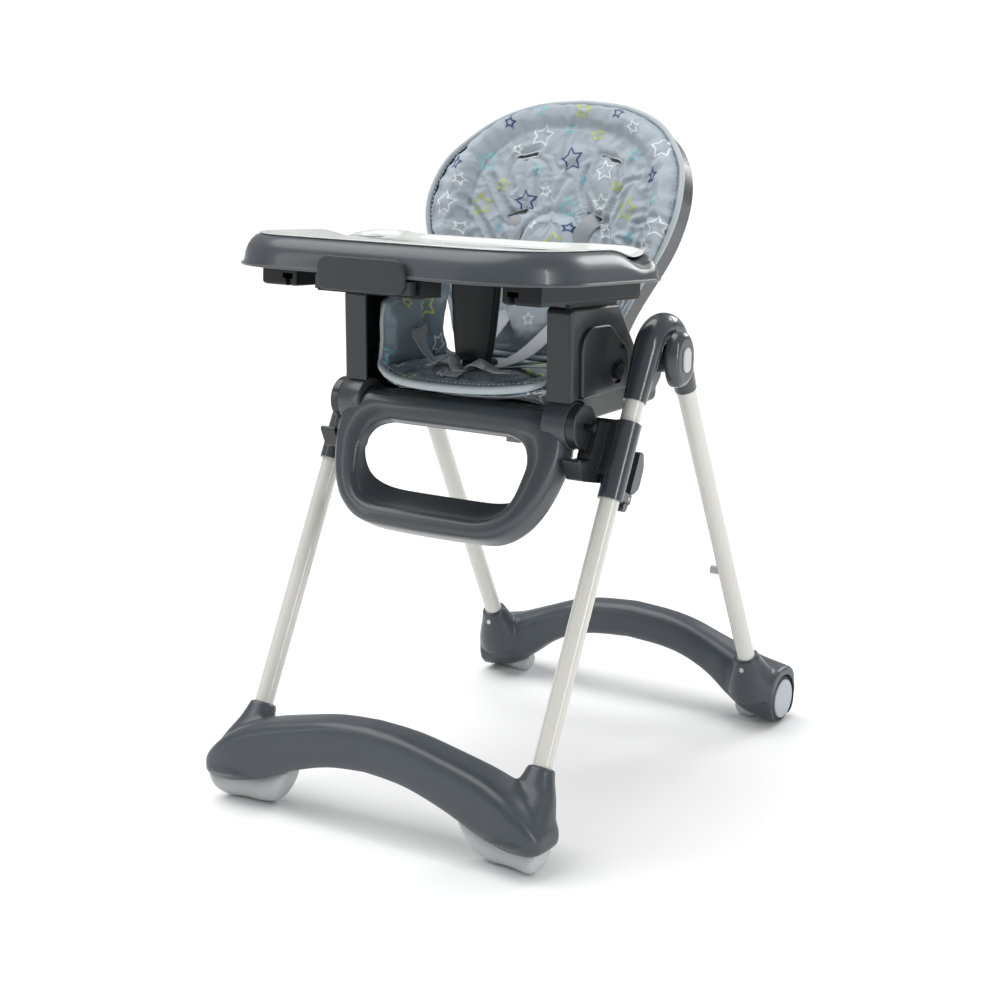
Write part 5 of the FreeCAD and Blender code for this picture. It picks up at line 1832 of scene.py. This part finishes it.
@dataclass
class LegRest:
    """Calf frame: one closed hollow-backed loop with a sloping foot shelf, hung on two round hubs."""

    outer: tuple = ((0.120, 0.0125), (0.172, 0.0110), (0.193, -0.006), (0.2035, -0.045), (0.1965, -0.090),
                    (0.182, -0.132), (0.158, -0.167), (0.120, -0.190), (0.060, -0.1955))
    inner: tuple = ((0.080, -0.030), (0.112, -0.031), (0.139, -0.043), (0.1525, -0.070), (0.1500, -0.100),
                    (0.142, -0.130), (0.124, -0.153), (0.094, -0.1635), (0.050, -0.1645))
    throat: tuple = ((0.080, -0.031, -0.006), (0.112, -0.032, -0.006), (0.138, -0.044, -0.007),
                     (0.151, -0.069, -0.006), (0.1480, -0.094, 0.000), (0.137, -0.113, 0.010),
                     (0.118, -0.123, 0.019), (0.090, -0.1275, 0.023), (0.048, -0.1285, 0.024))
    hub: float = 0.036
    hub_in: float = 0.166
    hub_out: float = 0.208
    bar: float = 0.024

    def ring(self, blend: float, depth: float, rim: float = 0.0) -> list[Vector]:
        """Closed ring between the inner and outer outline.

        Args:
            blend: 0 on the inner outline, 1 on the outer one.
            depth: distance behind the pivot, negative in front.
            rim: share of the throat in the ring, for the shelf.

        Returns:
            Points in the leg rest's frame, as x, depth and height.
        """
        half = []
        for (ox, oz), (ix, iz), (tx, tz, ty) in zip(self.outer, self.inner, self.throat):
            x, z = ix + (ox - ix) * blend, iz + (oz - iz) * blend
            half.append((x + (tx - x) * rim, z + (tz - z) * rim, depth + (ty - depth) * rim))
        loop = half + [(-x, z, y) for x, z, y in reversed(half)]
        return [LEG_REST.out(x, y, z) for x, z, y in smooth_line(loop, 14, closed=True)]

    def build(self) -> None:
        """Makes the loop, its hubs and the bar between them."""
        front = [self.ring(b, d) for b,
                 d in ((0.0, -0.0185), (0.03, -0.0235), (0.12, -0.0275), (0.30, -0.0300),
                                              (0.55, -0.0305), (0.78, -0.0285), (0.92, -0.0240),
                                              (0.985, -0.0175))]
        skirt = [self.ring(b, d) for b,
                 d in ((1.0, -0.008), (1.0, 0.012), (0.985, 0.0195), (0.95, 0.0205), (0.91, 0.0180),
                                              (0.90, -0.004), (0.80, -0.010), (0.20, -0.010))]
        back = [self.ring(0.10, -0.008, 0.0), self.ring(0.16, 0.004, 0.90), self.ring(0.08, 0.0, 0.97)]
        rings = [self.ring(0.0, 0.0, 1.0), self.ring(0.0, -0.006, 0.6), self.ring(0.0, -0.012, 0.2), *front,
                 *skirt, *back]
        count = len(rings[0])
        points = [p for ring in rings for p in ring]
        faces = grid_faces(len(rings), count, True)
        last = (len(rings) - 1) * count
        faces += [(last + k, last + (k + 1) % count, (k + 1) % count, k) for k in range(count)]
        new_piece("calf_loop", points, faces, TRAY_SLATE, "leg_rest", ["leg_rest"], crease_angle=60)
        for side in Side:
            profile = ((self.hub_in, 0.0340), (self.hub_in + 0.002, self.hub),
                       (self.hub_out - 0.003, self.hub),
                       (self.hub_out - 0.0008, 0.0348), (self.hub_out, 0.0325), (self.hub_out, 0.0290),
                       (self.hub_out - 0.0025, 0.0280), (self.hub_out - 0.0025, 0.0160),
                       (self.hub_out, 0.0150),
                       (self.hub_out, 0.0090))
            rings = [squircle(LEG_REST.out(side.value * x, 0, 0), Vector((0, r, 0)), Vector((0, 0, r)), 2.0,
                              64)
                     for x, r in profile]
            points, faces = capped(rings)
            new_piece("calf_hub_" + side.word, points, faces, TRAY_SLATE, "leg_rest", crease_angle=35)
        rings = [squircle(LEG_REST.out(x, 0, 0), Vector((0, self.bar, 0)), Vector((0, 0, self.bar)), 2.0, 48)
                 for x in (-self.hub_in, -0.06, 0.06, self.hub_in)]
        points, faces = capped(rings)
        # The calf bar wears slate plastic darkened as painted shade.
        new_piece("calf_bar", points, faces, SLATE_IN_PAINTED_SHADE, "leg_rest", crease_angle=40)


@dataclass
class Tray:
    """Tray body, its underside and its removable insert."""

    half: float = 0.290
    front: float = -0.184
    rear: float = 0.186
    corner: float = 0.130
    body_levels: tuple = ((0.006, 0.0005), (0.0, 0.0), (-0.001, 0.001), (-0.001, 0.0032), (0.002, 0.0042),
                          (0.0036, 0.01), (0.005, 0.019), (0.0085, 0.029), (0.014, 0.0375), (0.0205, 0.0432),
                          (0.026, 0.0455), (0.03, 0.0458), (0.0325, 0.044), (0.035, 0.037), (0.038, 0.0362),
                          (0.06, 0.0362), (0.1, 0.0362))
    under_levels: tuple = ((0.006, 0.0005), (0.007, 0.018), (0.014, 0.034), (0.1, 0.034))
    insert_levels: tuple = ((0.031, 0.0462), (0.0265, 0.0464), (0.0255, 0.0474), (0.0265, 0.0484),
                            (0.032, 0.0488), (0.036, 0.0478), (0.04, 0.043), (0.044, 0.04), (0.07, 0.0395),
                            (0.11, 0.0395))

    def outline(self, inset: float, count: int = 160) -> list[tuple[float, float]]:
        """Plan of the tray, moved inwards, with evenly spaced points.

        Args:
            inset: how far inwards.
            count: number of points.

        Returns:
            The points as x and y.
        """
        corners = ((-self.half, self.front, self.corner), (self.half, self.front, self.corner),
                   (self.half, self.rear, 0.046), (0.150, self.rear, 0.040), (0.120, 0.138, 0.060),
                   (-0.120, 0.138, 0.060), (-0.150, self.rear, 0.040), (-self.half, self.rear, 0.046))
        line = []
        for i, (x, y, r) in enumerate(corners):
            at = Vector((x, y))
            before = (Vector(corners[i - 1][:2]) - at).normalized()
            after = (Vector(corners[(i + 1) % len(corners)][:2]) - at).normalized()
            half = before.angle(after) / 2
            turn = before.x * after.y - before.y * after.x
            middle = at + (before + after).normalized() * (r / math.sin(half))
            start, end = at + before * r / math.tan(half), at + after * r / math.tan(half)
            a0 = math.atan2(start.y - middle.y, start.x - middle.x)
            a1 = math.atan2(end.y - middle.y, end.x - middle.x)
            sweep_angle = (a1 - a0 + math.pi) % math.tau - math.pi
            inward = r - inset if turn < 0 else r + inset
            for k in range(13):
                a = a0 + sweep_angle * k / 12
                line.append(middle + Vector((math.cos(a), math.sin(a))) * inward)
        total = [0.0]
        for i in range(len(line)):
            total.append(total[-1] + (line[(i + 1) % len(line)] - line[i]).length)
        made = []
        for k in range(count):
            want = total[-1] * k / count
            i = max(j for j in range(len(line)) if total[j] <= want)
            span = max(total[i + 1] - total[i], 1e-9)
            p = line[i].lerp(line[(i + 1) % len(line)], (want - total[i]) / span)
            made.append((p.x, p.y))
        return made

    def dip(self, x: float, y: float) -> float:
        """How far the rim sinks at a place, for the finger recess on each rear side."""
        side = step(0.225, 0.262, abs(x))
        return 0.016 * side * math.exp(-((y - 0.118) / 0.040) ** 2)

    def skin(self, levels: Sequence[tuple[float, float]], dips: float) -> list[list[Vector]]:
        """Rings of the tray at (inset, height) levels.

        Args:
            levels: inset and height of each ring.
            dips: share of the finger recess in them.

        Returns:
            The rings.
        """
        rings = []
        for inset, z in levels:
            ring = []
            for x, y in self.outline(inset):
                sink = self.dip(x, y) * dips * step(0.012, 0.040, z)
                ring.append(TRAY.out(x, y, z - sink))
            rings.append(ring)
        return rings

    def build(self) -> None:
        """Makes the body and the insert."""
        points, faces = capped(self.skin(self.body_levels, 1.0))
        new_piece("tray_shell", points, faces[:-2] + [faces[-1]], TRAY_SLATE, "tray", ["tray_body"],
                  crease_angle=50)
        points, faces = capped(self.skin(self.under_levels, 0.6))
        # The underside wears near-black plastic as painted shade under the tray.
        new_piece("tray_underside", points, faces[:-2] + [faces[-1]], CHARCOAL_AND_PAINTED_SHADE, "tray", crease_angle=50)
        points, faces = capped(self.skin(self.insert_levels, 0.75))
        new_piece("tray_inner_plate", points, faces[:-2] + [faces[-1]], INSERT, "tray_insert",
                  ["tray_insert"],
                  crease_angle=50)


def main() -> None:
    """Builds the studio and the chair."""
    logging.basicConfig(level=logging.INFO, format="%(name)s %(message)s")
    Studio().build()
    CarriedNodes().dress()
    for assembly in (Bases(), LegRest(), BackCover(), SeatCover(), Tray()):
        LOG.info("building %s", type(assembly).__name__)
        assembly.build()


if __name__ == "__main__":
    main()
